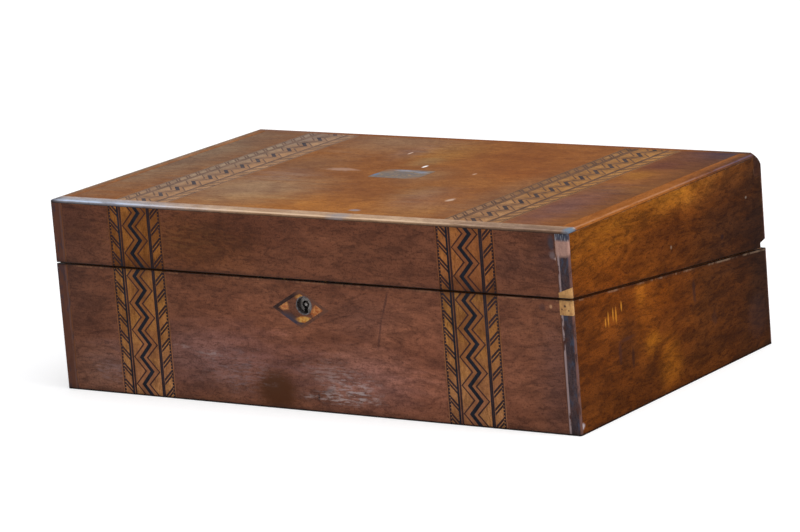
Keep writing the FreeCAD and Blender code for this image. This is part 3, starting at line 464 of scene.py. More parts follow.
top_wood = walnut(
    "walnut_top", "X", srgb(87, 45, 19), srgb(122, 72, 33), srgb(141, 88, 41), 3.4,
    tints=[
        # painted reflection: the tints that raise blue most, at (-172, 30), (-60, 88), (-32, 52), (-72, -52),
        # (50, -52), (60, -78), (-76, 12), (14, 0), (-8, 36), (38, -40), (88, -34), (140, -52) and (162, 98),
        # are a hazy reflection of the room in the polish
        on_top(-172, 30, 60, 150, gain(0.9, 1.16, 1.8)),
        on_top(-60, 88, 56, 44, gain(0.98, 1.16, 1.65)),
        on_top(-32, 52, 12, 26, gain(1.0, 1.1, 1.4), 0.8, 0.4),
        on_top(-6, 62, 24, 36, gain(1.06, 1.14, 1.12), 1.0, 0.5),
        on_top(-72, -52, 56, 50, gain(1.06, 1.33, 1.95)),
        on_top(-4, -84, 80, 30, gain(1.15, 1.17, 1.06)),
        on_top(50, -52, 26, 34, gain(1.02, 1.08, 1.35), 0.9, 0.5),
        on_top(60, -78, 30, 26, gain(1.06, 1.16, 1.35), 0.9, 0.5),
        on_top(-76, 12, 34, 38, gain(0.95, 1.05, 1.35), 1.0, 0.5),
        on_top(14, 0, 20, 24, gain(0.97, 1.09, 1.4), 1.0, 0.5),
        on_top(-8, 36, 12, 16, gain(1.0, 1.14, 1.4), 1.0, 0.5),
        on_top(38, -40, 20, 26, gain(0.97, 1.08, 1.3), 1.0, 0.5),
        on_top(88, -34, 16, 66, gain(0.96, 1.04, 1.3), 1.0, 0.5),
        on_top(138, 56, 16, 16, gain(0.84, 0.8, 1.0), 1.0, 0.5),
        on_top(50, 56, 50, 46, gain(0.97, 0.92, 0.82), 1.0, 0.5),
        on_top(70, 15, 24, 24, gain(1.02, 0.98, 0.9), 1.0, 0.5),
        on_top(150, 92, 40, 50, gain(0.74, 0.74, 1.06), 1.0, 0.3),
        on_top(168, 104, 22, 34, gain(0.82, 0.92, 1.1), 1.0, 0.3),
        on_top(139, 30, 12, 18, gain(1.08, 1.12, 0.9), 1.0, 0.5),
        on_top(140, -52, 22, 60, gain(0.83, 0.9, 1.5), 1.0, 0.5),
        on_top(140, -8, 30, 14, gain(0.9, 0.93, 1.0), 1.0, 0.5),
        on_top(168, 10, 22, 130, gain(0.85, 0.86, 0.9)),
        on_top(162, 98, 26, 24, gain(0.86, 0.98, 1.35)),
    ],
    marks=[
        on_top(-47, 6.5, 12, 4.5, srgb(164, 132, 114), 0.55, 0.6),
        on_top(-1.0, 24.3, 1.3, 3.4, srgb(240, 236, 232), 0.95, 0.1),
        on_top(-32.5, 56.3, 0.8, 3.4, srgb(214, 186, 166), 0.7, 0.2),
        on_top(66.5, -52.2, 2.4, 4.0, srgb(196, 172, 154), 0.6, 0.5),
        on_top(41, 12, 1.2, 2.4, srgb(190, 160, 136), 0.6, 0.3),
        on_top(27, -88, 4.0, 2.6, srgb(134, 134, 140), 0.6, 0.4),
        on_top(-28, -32, 9, 1.2, srgb(84, 52, 30), 0.35, 0.5),
    ],
    rings=0.12, streak=0.34, gloss=0.36, polish=0.075, short=1.8, fleck=0.45)


def edging(name, grain, dark, mid, light, seed, crest, foot, tints, marks, rubbed, downturn_shade, polish):
    """Rounded edging of the top. The crest of its round takes the colour crest as strongly as rubbed: bare
    wood rubbed through there, and a painted highlight of the round as well. Where the round turns down its
    colour is multiplied by factors of painted shade, and along its foot, which is a height, it has a line of
    painted shade."""
    s = Shader(name)
    tone, height, _ = grained(s, grain, dark, mid, light, seed,
                              rings=0.0, streak=0.3, pores=0.25, fleck=0.4, short=1.5)
    up = s.facing("Z")
    # painted shade: darker where the round turns down, away from the light
    tone = s.mix(s.span(up, 0.72, 0.3), tone, downturn_shade, "MULTIPLY")
    rub = s.noise(s.stretch(along(grain, 0.5, 0.5), (1, seed, 6)), 1.0, 5.0, 0.7)
    # the crest: bare wood rubbed through, and the painted highlight of the round
    crest_wear_and_highlight = s.times(s.span(s.distance(up, 0.8), 0.2, 0.08), s.span(rub, 0.34, 0.52))
    tone = s.over(tone, crest, crest_wear_and_highlight, rubbed)
    tone = s.tint(tone, tints)
    tone = s.cover(tone, marks, 0.7)
    nick = s.span(s.noise(s.place(), 0.7, 3.0, 0.6), 0.66, 0.74)
    tone = s.over(tone, srgb(70, 46, 34), nick, 0.5)
    # painted shade: a dark line along the foot of the edging
    foot_shade = s.span(s.distance(s.axis("Z"), foot), 0.45, 0.15)
    tone = s.over(tone, SHADE_COLOUR, foot_shade, s.times(outside_mask(s, 0.3), 0.7))
    rough = s.span(rub, 0.3, 0.7, 0.26, 0.44)
    return s.finish(tone, rough, s.bump(height, 0.25, 0.08, s.softened(0.5)), **polished(polish, 0.2))


EDGE_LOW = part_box("lid_edge_front")[0][2] / MM
# painted reflection: a bluish grey patch on the edging at the front right corner of the top
CORNER_TOP_REFLECTION = patch((RIGHT - 1, FRONT + 4, TOP), (3.6, 6.0, 5.0), srgb(92, 110, 128), 0.9, 0.2)
front_edging = edging(
    "edging_front", "X", srgb(115, 84, 64), srgb(154, 121, 93), srgb(181, 150, 121), 5.5,
    srgb(214, 184, 154), EDGE_LOW,
    # painted highlight: the bluish lift over the left part of the round
    tints=[patch((-150, FRONT, TOP), (90, 12, 9), gain(0.87, 1.1, 1.48), 1.0, 0.3),
           patch((-176, FRONT, TOP), (9, 12, 9), gain(0.45, 0.42, 0.42), 1.0, 0.3),
           patch((150, FRONT, TOP), (75, 12, 9), gain(0.7, 0.68, 0.7))],
    marks=[CORNER_TOP_REFLECTION, patch((26, FRONT + 3, TOP), (9, 5, 5), srgb(122, 122, 130), 0.6, 0.6)],
    rubbed=0.75, downturn_shade=gain(0.72, 0.68, 0.66), polish=0.12)
side_edging = edging(
    "edging_side", "Y", srgb(92, 48, 20), srgb(132, 76, 32), srgb(154, 94, 44), 6.1,
    srgb(176, 134, 104), EDGE_LOW,
    tints=[patch((RIGHT, 110, TOP), (DEEP, 100, 9), gain(0.55, 0.66, 1.15)),
           # painted reflection: the bluish lift on the left edging
           patch((LEFT, 0, TOP), (DEEP, 300, 9), gain(0.9, 1.25, 2.1))],
    marks=[CORNER_TOP_REFLECTION], rubbed=0.35, downturn_shade=gain(1, 1, 1), polish=0.03)
back_edging = edging(
    "edging_back", "X", srgb(90, 48, 24), srgb(122, 70, 38), srgb(138, 86, 50), 9.4,
    srgb(150, 116, 96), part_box("lid_edge_back")[0][2] / MM,
    # painted reflection: the bluish lift at the left end of the back edging
    tints=[patch((-172, BACK, TOP), (80, 30, 20), gain(0.95, 1.15, 1.6)),
           patch((172, BACK, TOP), (46, 30, 30), gain(0.62, 0.72, 1.0))],
    marks=[], rubbed=0.25, downturn_shade=gain(0.72, 0.72, 0.76), polish=0.03)


def corner_strip():
    """Dark corner strips. The left ones have faded to the colour of the veneer."""
    s = Shader("corner_strip")
    tone, height, figure = grained(s, "Z", srgb(30, 25, 30), srgb(52, 42, 46), srgb(80, 62, 62), 8.0,
                                   rings=0.0, streak=0.5, pores=0.3, fleck=0.6)
    stain = s.noise(s.stretch((0.3, 0.3, 0.12), (9, 9, 1)), 1.0, 4.0, 0.6)
    tone = s.over(tone, srgb(58, 66, 84), s.span(stain, 0.52, 0.66), 0.7)
    tone = s.over(tone, srgb(74, 40, 26), s.span(stain, 0.46, 0.34), 0.6)
    inward = s.math("SUBTRACT", s.math("ABSOLUTE", s.axis("X")), STRIP_EDGE)
    right_side = s.math("GREATER_THAN", s.axis("X"), 0.0)
    veneer = s.mix(figure, srgb(68, 40, 30), srgb(104, 64, 48))
    tone = s.mix(s.span(inward, 1.1, 0.5), tone, veneer)
    glint = s.times(s.span(s.distance(inward, 1.4), 0.9, 0.3), s.span(stain, 0.36, 0.46))
    tone = s.over(tone, srgb(160, 138, 136), glint, 0.75)
    arris = s.times(s.span(inward, 7.0, 7.8), s.span(stain, 0.4, 0.5))
    tone = s.over(tone, srgb(140, 92, 72), arris, 0.4)
    line = s.times(s.span(s.distance(inward, 0.3), 0.5, 0.2), 0.5)
    veneer = s.mix(line, veneer, srgb(122, 74, 40))
    veneer = s.over(veneer, srgb(52, 44, 52), s.span(stain, 0.54, 0.64), 0.6)
    tone = s.over(tone, veneer, s.math("SUBTRACT", 1.0, right_side), 0.9)
    bruise = s.spot((RIGHT - 5, FRONT, 103.0), (9, 9, 5.6), 0.35, 0.25)
    flesh = s.mix(s.noise(s.stretch((0.9, 0.9, 0.5)), 1.0, 4.0, 0.7), srgb(120, 88, 82), srgb(196, 154, 136))
    tone = s.over(tone, flesh, bruise, 0.95)
    # painted reflection: the same bluish grey patch at the top of the front right strip
    strip_top_reflection = s.spot((RIGHT - 4.5, FRONT, 109.5), (8, 9, 3.2), 0.4, 0.3)
    runs = s.noise(s.stretch((1.2, 1.2, 0.2)), 1.0, 2.0)
    tone = s.over(tone, s.mix(s.span(runs, 0.5, 0.64), srgb(52, 56, 70), srgb(126, 128, 134)), strip_top_reflection, 0.9)
    tone = painted_seam_and_foot_shade(s, tone)
    gouge = s.noise(s.place(), 0.9, 4.0, 0.6)
    normal = s.bump(s.times(gouge, bruise), 0.8, 0.6, s.bump(height, 0.25, 0.08, s.softened(0.4)))
    return s.finish(tone, s.plus(0.34, s.times(bruise, 0.35)), normal, **polished(0.12, 0.2))


def plain_wood(name, grain, dark, mid, light, seed, holes=(), stained=0.0):
    """Wood without polish, stained dark in patches, with pin holes."""
    s = Shader(name)
    tone, height, _ = grained(s, grain, dark, mid, light, seed,
                              rings=0.15, streak=0.4, pores=0.25, fleck=0.35)
    if stained:
        stain = s.span(s.noise(s.place(), 0.35, 4.0, 0.6), 0.5, 0.66)
        tone = s.over(tone, dark, stain, stained)
    for hole in holes:
        pit = s.spot(*hole)
        tone = s.over(tone, srgb(56, 34, 24), pit, 0.9)
        height = s.plus(height, s.times(pit, -3.0))
    if holes:
        tone = painted_seam_and_foot_shade(s, tone)
    return s.finish(tone, 0.55, s.bump(height, 0.3, 0.1, s.softened(0.3)), **{"Specular IOR Level": 0.2})


def inlay(name, dark, mid, light, other, seed, tints=(), polish=0.1):
    """Small pieces of one wood: each takes its own share of a second colour from the tone attribute."""
    s = Shader(name)
    own = s.node("Attribute", "Fac", {"attribute_name": "tone"})
    tone, height, figure = grained(s, "Z", dark, mid, light, seed,
                                   rings=0.0, streak=0.45, pores=0.3, fleck=0.6)
    tone = s.over(tone, s.mix(figure, dark, other), own, 0.85)
    grime = s.noise(s.place(), 0.09, 5.0, 0.65)
    tone = s.over(tone, dimmed(dark, 0.5), s.span(grime, 0.46, 0.76), 0.5)
    tone = s.tint(tone, tints)
    tone = painted_seam_and_foot_shade(s, tone)
    return s.finish(tone, 0.4, s.bump(height, 0.2, 0.05), **polished(polish))


def lozenge_field():
    """Light inlay that is mostly stained and gone, with four pieces of sound wood left."""
    s = Shader("satinwood")
    tone, height, _ = grained(s, "X", srgb(58, 36, 30), srgb(98, 60, 44), srgb(118, 76, 58), 15.0,
                              rings=0.0, streak=0.4, pores=0.3, fleck=0.6)
    kept = 0.0
    for x, z, wide, tall, colour, lit in ((-14.5, 2.2, 3.8, 3.2, srgb(176, 104, 66), srgb(204, 144, 84)),
                                          (-1.5, -5.6, 6.6, 1.9, srgb(186, 116, 48), srgb(214, 164, 86)),
                                          (8.4, -0.8, 4.8, 4.2, srgb(160, 84, 42), srgb(198, 134, 80)),
                                          (-2.5, 7.6, 4.0, 1.6, srgb(150, 92, 46), srgb(196, 140, 76))):
        piece = s.spot((x, FRONT, LOCK_HEIGHT + z), (wide, DEEP, tall), 0.4, 0.9)
        wood = s.mix(s.span(s.noise(s.place(), 0.6, 3.0, 0.6), 0.4, 0.6), colour, lit)
        tone = s.over(tone, wood, piece, 0.8)
        kept = s.plus(kept, piece)
    tone = s.cover(tone, [on_front(-10, LOCK_HEIGHT - 4.5, 6.5, 2.0, srgb(66, 58, 62), 0.7, 0.5, -0.5),
                          on_front(-3, LOCK_HEIGHT - 9.0, 4.5, 2.0, srgb(60, 58, 68), 0.85, 0.5),
                          on_front(5, LOCK_HEIGHT - 6.5, 4.5, 1.8, srgb(76, 58, 56), 0.6, 0.6, 0.5)])
    height = s.plus(s.times(height, 0.3), s.times(kept, 0.8))
    return s.finish(tone, 0.5, s.bump(height, 0.5, 0.15), **polished(0.08, 0.25))


def lozenge_line():
    """Thin dark stringing, crisp at the upper left and half lost elsewhere."""
    s = Shader("lozenge_border")
    tone, height, figure = grained(s, "X", srgb(26, 20, 22), srgb(46, 34, 34), srgb(66, 48, 44), 16.0,
                                   rings=0.0, streak=0.4, pores=0.3, fleck=0.5)
    gone = s.span(s.noise(s.place(), 0.28, 4.0, 0.65), 0.32, 0.46)
    sharp = s.spot((-16, FRONT, LOCK_HEIGHT + 5.5), (13, DEEP, 9), 0.4, 0.1)
    gone = s.times(gone, s.math("SUBTRACT", 1.0, sharp))
    tone = s.over(tone, s.mix(figure, srgb(88, 60, 52), srgb(116, 76, 58)), gone, 0.9)
    tone = s.cover(tone, [on_front(-11, LOCK_HEIGHT - 5.5, 9, 5, srgb(56, 56, 70), 0.8, 0.5)])
    return s.finish(tone, 0.5, s.bump(height, 0.4, 0.1), **polished(0.08, 0.25))


BRUSHED = (0.4, 6.0, 6.0)
EVEN = (1.0, 1.0, 1.0)


def metal(name, bright, dull, rough=0.34, metallic=1.0, scale=0.25, lines=BRUSHED):
    """Metal that has dulled in patches, with fine lines."""
    s = Shader(name)
    age = s.noise(s.place(), scale, 5.0, 0.65)
    scored = s.noise(s.stretch(lines), 1.0, 2.0)
    tone = s.mix(s.span(age, 0.4, 0.68), bright, dull)
    return s.finish(tone, s.span(age, 0.3, 0.7, rough - 0.08, rough + 0.18),
                    s.bump(scored, 0.08, 0.05, s.bump(age, 0.2, 0.1, s.softened(0.2))),
                    **{"Metallic": metallic})


def leather():
    """Green skiver with a wide and a narrow gilt line along each side."""
    s = Shader("tooled_leather")
    cells = s.node("TexVoronoi", 0, {"feature": "DISTANCE_TO_EDGE"}, Vector=s.place(), Scale=0.9)
    worn = s.noise(s.place(), 0.02, 6.0, 0.65)
    tone = s.mix(s.span(worn, 0.35, 0.7), srgb(30, 48, 34), srgb(62, 78, 50))
    tone = s.mix(s.span(cells, 0.0, 0.12, 0.5, 0.0), tone, srgb(16, 26, 18))
    low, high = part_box("base_flap_leather")
    half = (high[0] - low[0]) / 2 / MM
    from_side = s.math("SUBTRACT", half, s.math("ABSOLUTE", s.axis("X")))
    rubbed = s.span(s.noise(s.place(), 0.12, 5.0, 0.7), 0.62, 0.4)
    for inset, thick in ((6.0, 0.9), (9.0, 0.45)):
        line = s.math("LESS_THAN", s.distance(from_side, inset), thick / 2)
        tone = s.over(tone, srgb(168, 132, 62), line, rubbed)
    return s.finish(tone, s.span(worn, 0.3, 0.7, 0.45, 0.65), s.bump(cells, 0.35, 0.15),
                    **{"Specular IOR Level": 0.4})


def pearl():
    """Dull mother of pearl, browned at its ends."""
    s = Shader("mother_of_pearl")
    flow = s.noise(s.stretch((0.14, 0.24, 0.24)), 1.0, 4.0, 0.6, 1.2)
    ramp = s.tree.nodes.new("ShaderNodeValToRGB")
    stops = [(0.28, srgb(74, 80, 92)), (0.42, srgb(112, 98, 90)), (0.5, srgb(96, 88, 84)),
             (0.6, srgb(132, 110, 88)), (0.74, srgb(88, 92, 100))]
    while len(ramp.color_ramp.elements) < len(stops):
        ramp.color_ramp.elements.new(0.5)
    for element, (where, colour) in zip(ramp.color_ramp.elements, stops):
        element.position = where
        element.color = colour
    s.put(ramp.inputs[0], flow)
    # painted highlight: the first two covers, pale and bluish, along the upper part of the plaque
    tone = s.cover(ramp.outputs[0], [on_top(-5, 11.5, 9, 2.6, srgb(140, 142, 154), 0.6, 0.5),
                                     on_top(7, 9, 5, 2.4, srgb(120, 130, 150), 0.6, 0.5),
                                     on_top(-19, -1, 3, 4, srgb(86, 116, 150), 0.7, 0.4),
                                     on_top(-20, 13, 9, 8, srgb(128, 84, 50), 0.9, 0.4),
                                     on_top(13, -8, 8, 8, srgb(128, 88, 58), 0.8, 0.4)], 0.8)
    (x0, y0), (x1, y1) = ((corner[0] / MM, corner[1] / MM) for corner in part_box("cartouche"))
    sides = [s.math("SUBTRACT", (x1 - x0) / 2, s.distance(s.axis("X"), (x0 + x1) / 2)),
             s.math("SUBTRACT", (y1 - y0) / 2, s.distance(s.axis("Y"), (y0 + y1) / 2))]
    to_edge = s.plus(s.math("MINIMUM", *sides), s.times(s.ragged_edge(""), -1.6))
    tone = s.over(tone, srgb(112, 70, 40), s.span(to_edge, 0.5, -0.5), 0.8)
    return s.finish(tone, 0.26, s.bump(flow, 0.1, 0.2, s.softened(0.3)), **polished(0.08, 0.2))


def glass():
    s = Shader("ink_glass")
    ripple = s.noise(s.place(), 0.08, 2.0)
    return s.finish((0.86, 0.93, 0.9, 1), 0.04, s.bump(ripple, 0.1, 0.5),
                    **{"Transmission Weight": 1.0, "IOR": 1.5})


STRIP_MIDDLE = STRIP_EDGE + 4
HOLES = (((STRIP_MIDDLE - 0.6, FRONT, 71.2), (0.8, 4, 0.8), 0.4, 0.1),
         ((STRIP_MIDDLE - 2.6, FRONT, 69.4), (0.5, 4, 0.45), 0.4, 0.1),
         ((STRIP_MIDDLE + 1.6, FRONT, 68.9), (0.45, 4, 0.5), 0.4, 0.1))
ebony_strip = corner_strip()
repair_wood = plain_wood("repair_wood", "Z", srgb(128, 84, 48), srgb(186, 138, 82), srgb(206, 162, 108), 11.0,
                         holes=HOLES, stained=0.55)
inner_wood = plain_wood("inner_wood", "X", srgb(96, 54, 30), srgb(138, 88, 54), srgb(160, 108, 70), 12.0)
TOP_POLISH = 0.08
# the light and the dark wood of the bands, brightest on the base and palest at the left of the top, where the
# paler, greyer colours are partly a painted reflection in the polish
INLAYS = {
    "base": (
        inlay("inlay_light_base", srgb(94, 54, 25), srgb(151, 99, 50), srgb(194, 134, 69), srgb(162, 101, 64),
              13.0, [on_front(0, 76, 400, 22, gain(0.88, 0.88, 0.9)),
                     # painted reflection: a bluish haze low on the base band
                     on_front(0, 4, 400, 38, gain(1.06, 1.1, 1.3))]),
        inlay("inlay_dark_base", srgb(16, 17, 22), srgb(25, 28, 36), srgb(42, 44, 54), srgb(96, 60, 50),
              14.0)),
    "lid": (
        inlay("inlay_light_lid", srgb(84, 45, 16), srgb(136, 82, 33), srgb(168, 108, 50), srgb(124, 74, 42),
              17.0, [on_front(0, 76, 400, 8, gain(0.82, 0.8, 0.85)),
                     on_front(110, 95, 42, 42, gain(1.15, 1.15, 1.36))]),
        inlay("inlay_dark_lid", srgb(14, 15, 20), srgb(23, 26, 34), srgb(38, 40, 50), srgb(94, 54, 38),
              18.0)),
    "top_left": (
        inlay("inlay_light_top_left", srgb(118, 84, 60), srgb(158, 118, 82), srgb(178, 138, 98),
              # painted reflection: both tints of the light wood on the left of the top are a bluish haze in
              # the polish
              srgb(150, 113, 84), 19.0, [on_top(-130, 20, 16, 140, gain(0.88, 0.98, 1.12)),
                                         on_top(-118, 95, 24, 40, gain(0.92, 0.98, 1.1))], TOP_POLISH),
        inlay("inlay_dark_top_left", srgb(42, 38, 48), srgb(64, 55, 58), srgb(92, 80, 76), srgb(146, 110, 82),
              20.0, polish=TOP_POLISH)),
    "top_right": (
        inlay("inlay_light_top_right", srgb(110, 69, 33), srgb(156, 108, 56), srgb(176, 127, 70),
              srgb(148, 104, 60), 21.0, [on_top(94, 0, 10, 160, gain(0.84, 0.86, 1.0)),
                                         on_top(110, -80, 30, 60, gain(0.96, 1.0, 1.2))], TOP_POLISH),
        inlay("inlay_dark_top_right", srgb(34, 30, 36), srgb(54, 42, 42), srgb(84, 66, 58), srgb(134, 92, 58),
              22.0, polish=TOP_POLISH)),
}
satinwood = lozenge_field()
border_wood = lozenge_line()
old_brass = metal("old_brass", srgb(186, 146, 80), srgb(112, 84, 48))
pin_brass = metal("screw_brass", srgb(170, 134, 76), srgb(96, 74, 46), rough=0.3)
green_leather = leather()
shell = pearl()
dark_iron = metal("dark_iron", srgb(92, 88, 90), srgb(54, 44, 40), rough=0.4, metallic=0.7, scale=0.6,
                  lines=EVEN)
lock_iron = metal("lock_iron", srgb(150, 144, 140), srgb(104, 96, 90), rough=0.45, metallic=0.35, scale=0.5,
                  lines=EVEN)
clear_glass = glass()

FINISHES = {
    front_wood: ("base_front_board", "lid_front_board"),
    side_wood: ("base_right_board", "lid_right_board"),
    left_wood: ("base_left_board", "lid_left_board"),
    back_wood: ("base_back_board", "lid_back_board"),
    top_wood: ("lid_top_board",),
    front_edging: ("lid_edge_front",),
    back_edging: ("lid_edge_back",),
    side_edging: ("lid_edge_left", "lid_edge_right"),
    ebony_strip: tuple(n for n in NODES if "_corner_" in n and "repair" not in n),
    repair_wood: ("base_corner_repair", "lid_corner_repair"),
    inner_wood: ("base_bottom_board", "tray_partition", "tray_divider_left", "tray_divider_right", "pen_tray",
                 "base_flap_board", "lid_flap_board", "lid_flap_ledge"),
    satinwood: ("escutcheon_field",),
    border_wood: ("escutcheon_border",),
    shell: ("cartouche",),
    dark_iron: ("keyhole_liner",),
    lock_iron: ("lock_case", "lock_key_pin"),
    old_brass: ("lock_bolt", "lid_striker", "hinge_left_base_leaf", "hinge_right_base_leaf",
                "hinge_left_lid_leaf", "hinge_right_lid_leaf", "ink_cap"),
    pin_brass: ("hinge_pins", "base_flap_pins", "lid_flap_pins", "hinge_base_screws", "hinge_lid_screws",
                "lock_screws", "striker_screws"),
    green_leather: ("base_flap_leather", "lid_flap_leather"),
    clear_glass: ("ink_bottle",),
}
for material, names in FINISHES.items():
    for name in names:
        mesh = NODES[name].data
        mesh.materials.clear()
        mesh.materials.append(material)

# ---- parquetry bands -----------------------------------------------------------------------------
# Each band is a mosaic. u runs across it from its middle and v along it, in millimetres. In the
# middle a thick dark zigzag runs between two thin ones, all inside a pair of border lines; outside
# these are feather strips of slanting line pairs, then a dotted line and a light line.
ZIG_PERIOD = 15.9
ZIG_EDGES = (-9.2, 8.9)
# (middle, half width, swing) of the left thin, the thick and the right thin zigzag
ZIGZAGS = ((-5.1, 0.68, 3.75), (-0.2, 1.5, 3.45), (4.5, 0.68, 3.95))
# light or dark, and the share of the second colour, from the left edge to the right edge
ZIG_TONES = ((False, None), (True, 0.9), (False, 0.85), (True, 0.0), (False, 0.85), (True, 0.9),
             (False, None))
# (near edge, far edge, is dark, share of the second colour)
LINES = ((-18.8, -18.3, False, 0.9), (-18.3, -17.8, True, 0.9),
         (-12.2, -10.9, True, 0.0), (-10.9, -10.5, False, 0.9), (-10.5, -9.2, True, 0.7),
         (8.9, 9.2, False, 0.9), (9.2, 10.1, True, 0.1), (10.1, 10.5, True, 0.95), (10.5, 11.3, True, 0.15),
         (11.3, 11.6, False, 0.9),
         (17.8, 18.3, True, 0.9), (18.3, 18.8, False, 0.9))
FEATHERS = ((-16.9, -12.2), (11.6, 16.9))
FEATHER_PERIOD = 9.65
FEATHER_MARKS = ((0.0, 1.5), (2.3, 4.0))
DOTS = ((-17.8, -16.9), (16.9, 17.8))
DOT_PERIOD = 1.9
DOT_SHARE = 0.78
# light tiles take a share of their second colour between these
OWN_TONES = (0.0, 0.7)
# tiles lie at depths up to the first, over a backing at the second
TILE_DEPTH = 0.02
BACKING_DEPTH = 0.05
BACKING_TONE = 0.8
SMALLEST_TILE = 5e-5  # mm2
# where a band's zigzag has a left point, and how much of the second colour the dark wood of the top has,
# which pales it for fading and for a painted reflection in the polish, most on the left
ZIG_STARTS = {"base": 70.3, "lid": 83.6, "top": -90.0}
FADE_AND_REFLECTION = {"left": 0.93, "right": 0.75}


def clipped(points, low, high):
    """The part of a polygon between two values of v."""
    for limit, sign in ((low, 1), (high, -1)):
        kept = []
        for i, (u, v) in enumerate(points):
            u2, v2 = points[(i + 1) % len(points)]
            inside, next_inside = (v - limit) * sign >= 0, (v2 - limit) * sign >= 0
            if inside:
                kept.append((u, v))
            if inside != next_inside:
                t = (limit - v) / (v2 - v)
                kept.append((u + (u2 - u) * t, limit))
        points = kept
        if len(points) < 3:
            return []
    return points


def band_tiles(low, high, start, shifts, faded):
    """(polygon, is dark, tone) for a band from v = low to v = high, with a left point of the zigzags at
    start and the left and right feathers moved along by shifts. All the dark wood but one leg of the
    thick zigzag has at least the share in the last argument of its second colour, which pales it for
    fading and, on the top, for a painted reflection in the polish."""
    tiles = []

    def add(points, dark, tone=None, bold=False):
        points = clipped(points, low, high)
        if points:
            tone = rng.uniform(*OWN_TONES) if tone is None else tone
            tiles.append((points, dark, max(tone, faded) if dark and not bold else tone))

    def strip(near, far, from_v, to_v, dark, tone=None, rise=0.0):
        add([(near, from_v), (far, from_v + rise), (far, to_v + rise), (near, to_v)], dark, tone)

    step = ZIG_PERIOD / 2
    left, right = ZIG_EDGES
    for k in range(math.floor((low - start) / step), math.ceil((high - start) / step) + 1):
        v0, v1 = start + k * step, start + (k + 1) * step
        side = -1 if k % 2 == 0 else 1
        cuts = [(left, left)]
        for middle, half, swing in ZIGZAGS:
            for edge in (middle - half, middle + half):
                cuts.append(tuple(max(left, min(right, edge + sign * swing)) for sign in (side, -side)))
        cuts.append((right, right))
        for (a0, a1), (b0, b1), (dark, tone) in zip(cuts, cuts[1:], ZIG_TONES):
            add([(a0, v0), (b0, v0), (b1, v1), (a1, v1)], dark, tone, tone == 0.0 and side > 0)
    for near, far, dark, tone in LINES:
        strip(near, far, low, high, dark, tone)
    for (near, far), shift in zip(FEATHERS, shifts):
        wide = far - near
        rise = wide if near > 0 else -wide
        marks = [0.0] + [m for pair in FEATHER_MARKS for m in pair][1:] + [FEATHER_PERIOD]
        first, last = (math.floor((v - start) / FEATHER_PERIOD) for v in (low, high))
        for k in range(first - 2, last + 4):
            base = start + shift + k * FEATHER_PERIOD - max(rise, 0)
            for n, (a, c) in enumerate(zip(marks, marks[1:])):
                strip(near, far, base + a, base + c, n % 2 == 0, 0.5 if n % 2 == 0 else None, rise)
    for near, far in DOTS:
        v = low
        while v < high:
            strip(near, far, v, v + DOT_PERIOD * DOT_SHARE, True, 0.3)
            strip(near, far, v + DOT_PERIOD * DOT_SHARE, v + DOT_PERIOD, False)
            v += DOT_PERIOD
    return tiles


def mosaic(node, body, upright, start, shifts, woods, faded=0.0):
    """Replaces a band's plain strip with its mosaic, flush with the strip's face. woods are the light and
    the dark material."""
    low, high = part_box(node)
    middle = (low[0] + high[0]) / 2
    length_axis, outward = (2, -1) if upright else (1, 1)
    near, far = low[length_axis] / MM, high[length_axis] / MM
    face, back = (low[1], high[1]) if upright else (high[2], low[2])

    def point(u, v, deep):
        sunk = face - outward * deep
        return (middle + u * MM, sunk, v * MM) if upright else (middle + u * MM, v * MM, sunk)

    vertices, faces, dark_faces, tones = [], [], [], []
    for points, dark, tone in band_tiles(near, far, start, shifts, faded):
        area = sum(a[0] * c[1] - c[0] * a[1] for a, c in zip(points, points[1:] + points[:1])) / 2
        if abs(area) < SMALLEST_TILE:
            continue
        deep = rng.uniform(0.0, TILE_DEPTH) * MM
        ordered = points if area > 0 else points[::-1]
        faces.append([len(vertices) + i for i in range(len(ordered))])
        vertices.extend(point(u, v, deep) for u, v in ordered)
        dark_faces.append(dark)
        tones.append(tone)
    # backing: a closed block just under the tiles
    first = len(vertices)
    half = (high[0] - low[0]) / 2 / MM
    for deep in (BACKING_DEPTH * MM, abs(back - face)):
        for u, v in ((-half, near), (half, near), (half, far), (-half, far)):
            vertices.append(point(u, v, deep))
    block = [(0, 1, 2, 3), (7, 6, 5, 4), (0, 4, 5, 1), (1, 5, 6, 2), (2, 6, 7, 3), (3, 7, 4, 0)]
    for corners in block:
        faces.append([first + c for c in corners])
        dark_faces.append(False)
        tones.append(BACKING_TONE)
    mesh = bpy.data.meshes.new(node + "_mosaic")
    mesh.from_pydata(vertices, [], faces)
    for wood in woods:
        mesh.materials.append(wood)
    mesh.polygons.foreach_set("material_index", [int(d) for d in dark_faces])
    layer = mesh.attributes.new("tone", "FLOAT", "FACE")
    layer.data.foreach_set("value", tones)
    mesh.update()
    piece = bpy.data.objects.new(node + "_mosaic", mesh)
    bpy.context.scene.collection.objects.link(piece)
    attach(piece, body)
    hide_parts(node)


mosaic("base_front_band_left", "base", True, ZIG_STARTS["base"], (2.8, 0.0), INLAYS["base"])
mosaic("base_front_band_right", "base", True, ZIG_STARTS["base"], (0.0, 0.0), INLAYS["base"])
for side in ("left", "right"):
    mosaic("lid_front_band_" + side, "lid", True, ZIG_STARTS["lid"], (-3.4, -3.4), INLAYS["lid"])
    mosaic("lid_top_band_" + side, "lid", False, ZIG_STARTS["top"], (0.0, 0.0), INLAYS["top_" + side],
           FADE_AND_REFLECTION[side])

# ---- floor, light and camera -----------------------------------------------------------------------
FLOOR_REACH = 6.0
FLOOR_LEVEL = -0.2 * MM  # just under the case, so that floor and underside don't share a plane
FLOOR_GREY = (0.62, 0.62, 0.62, 1)
FLOOR_GLOW = 0.45
# the lamps don't reach the far floor, so the camera sees an added glow from one distance to the other, in mm
FAR_FLOOR = (600.0, 1800.0)
FAR_GLOW = 0.5
ROOM_GREY = (0.42, 0.43, 0.45, 1)
WHITE = (1, 1, 1, 1)

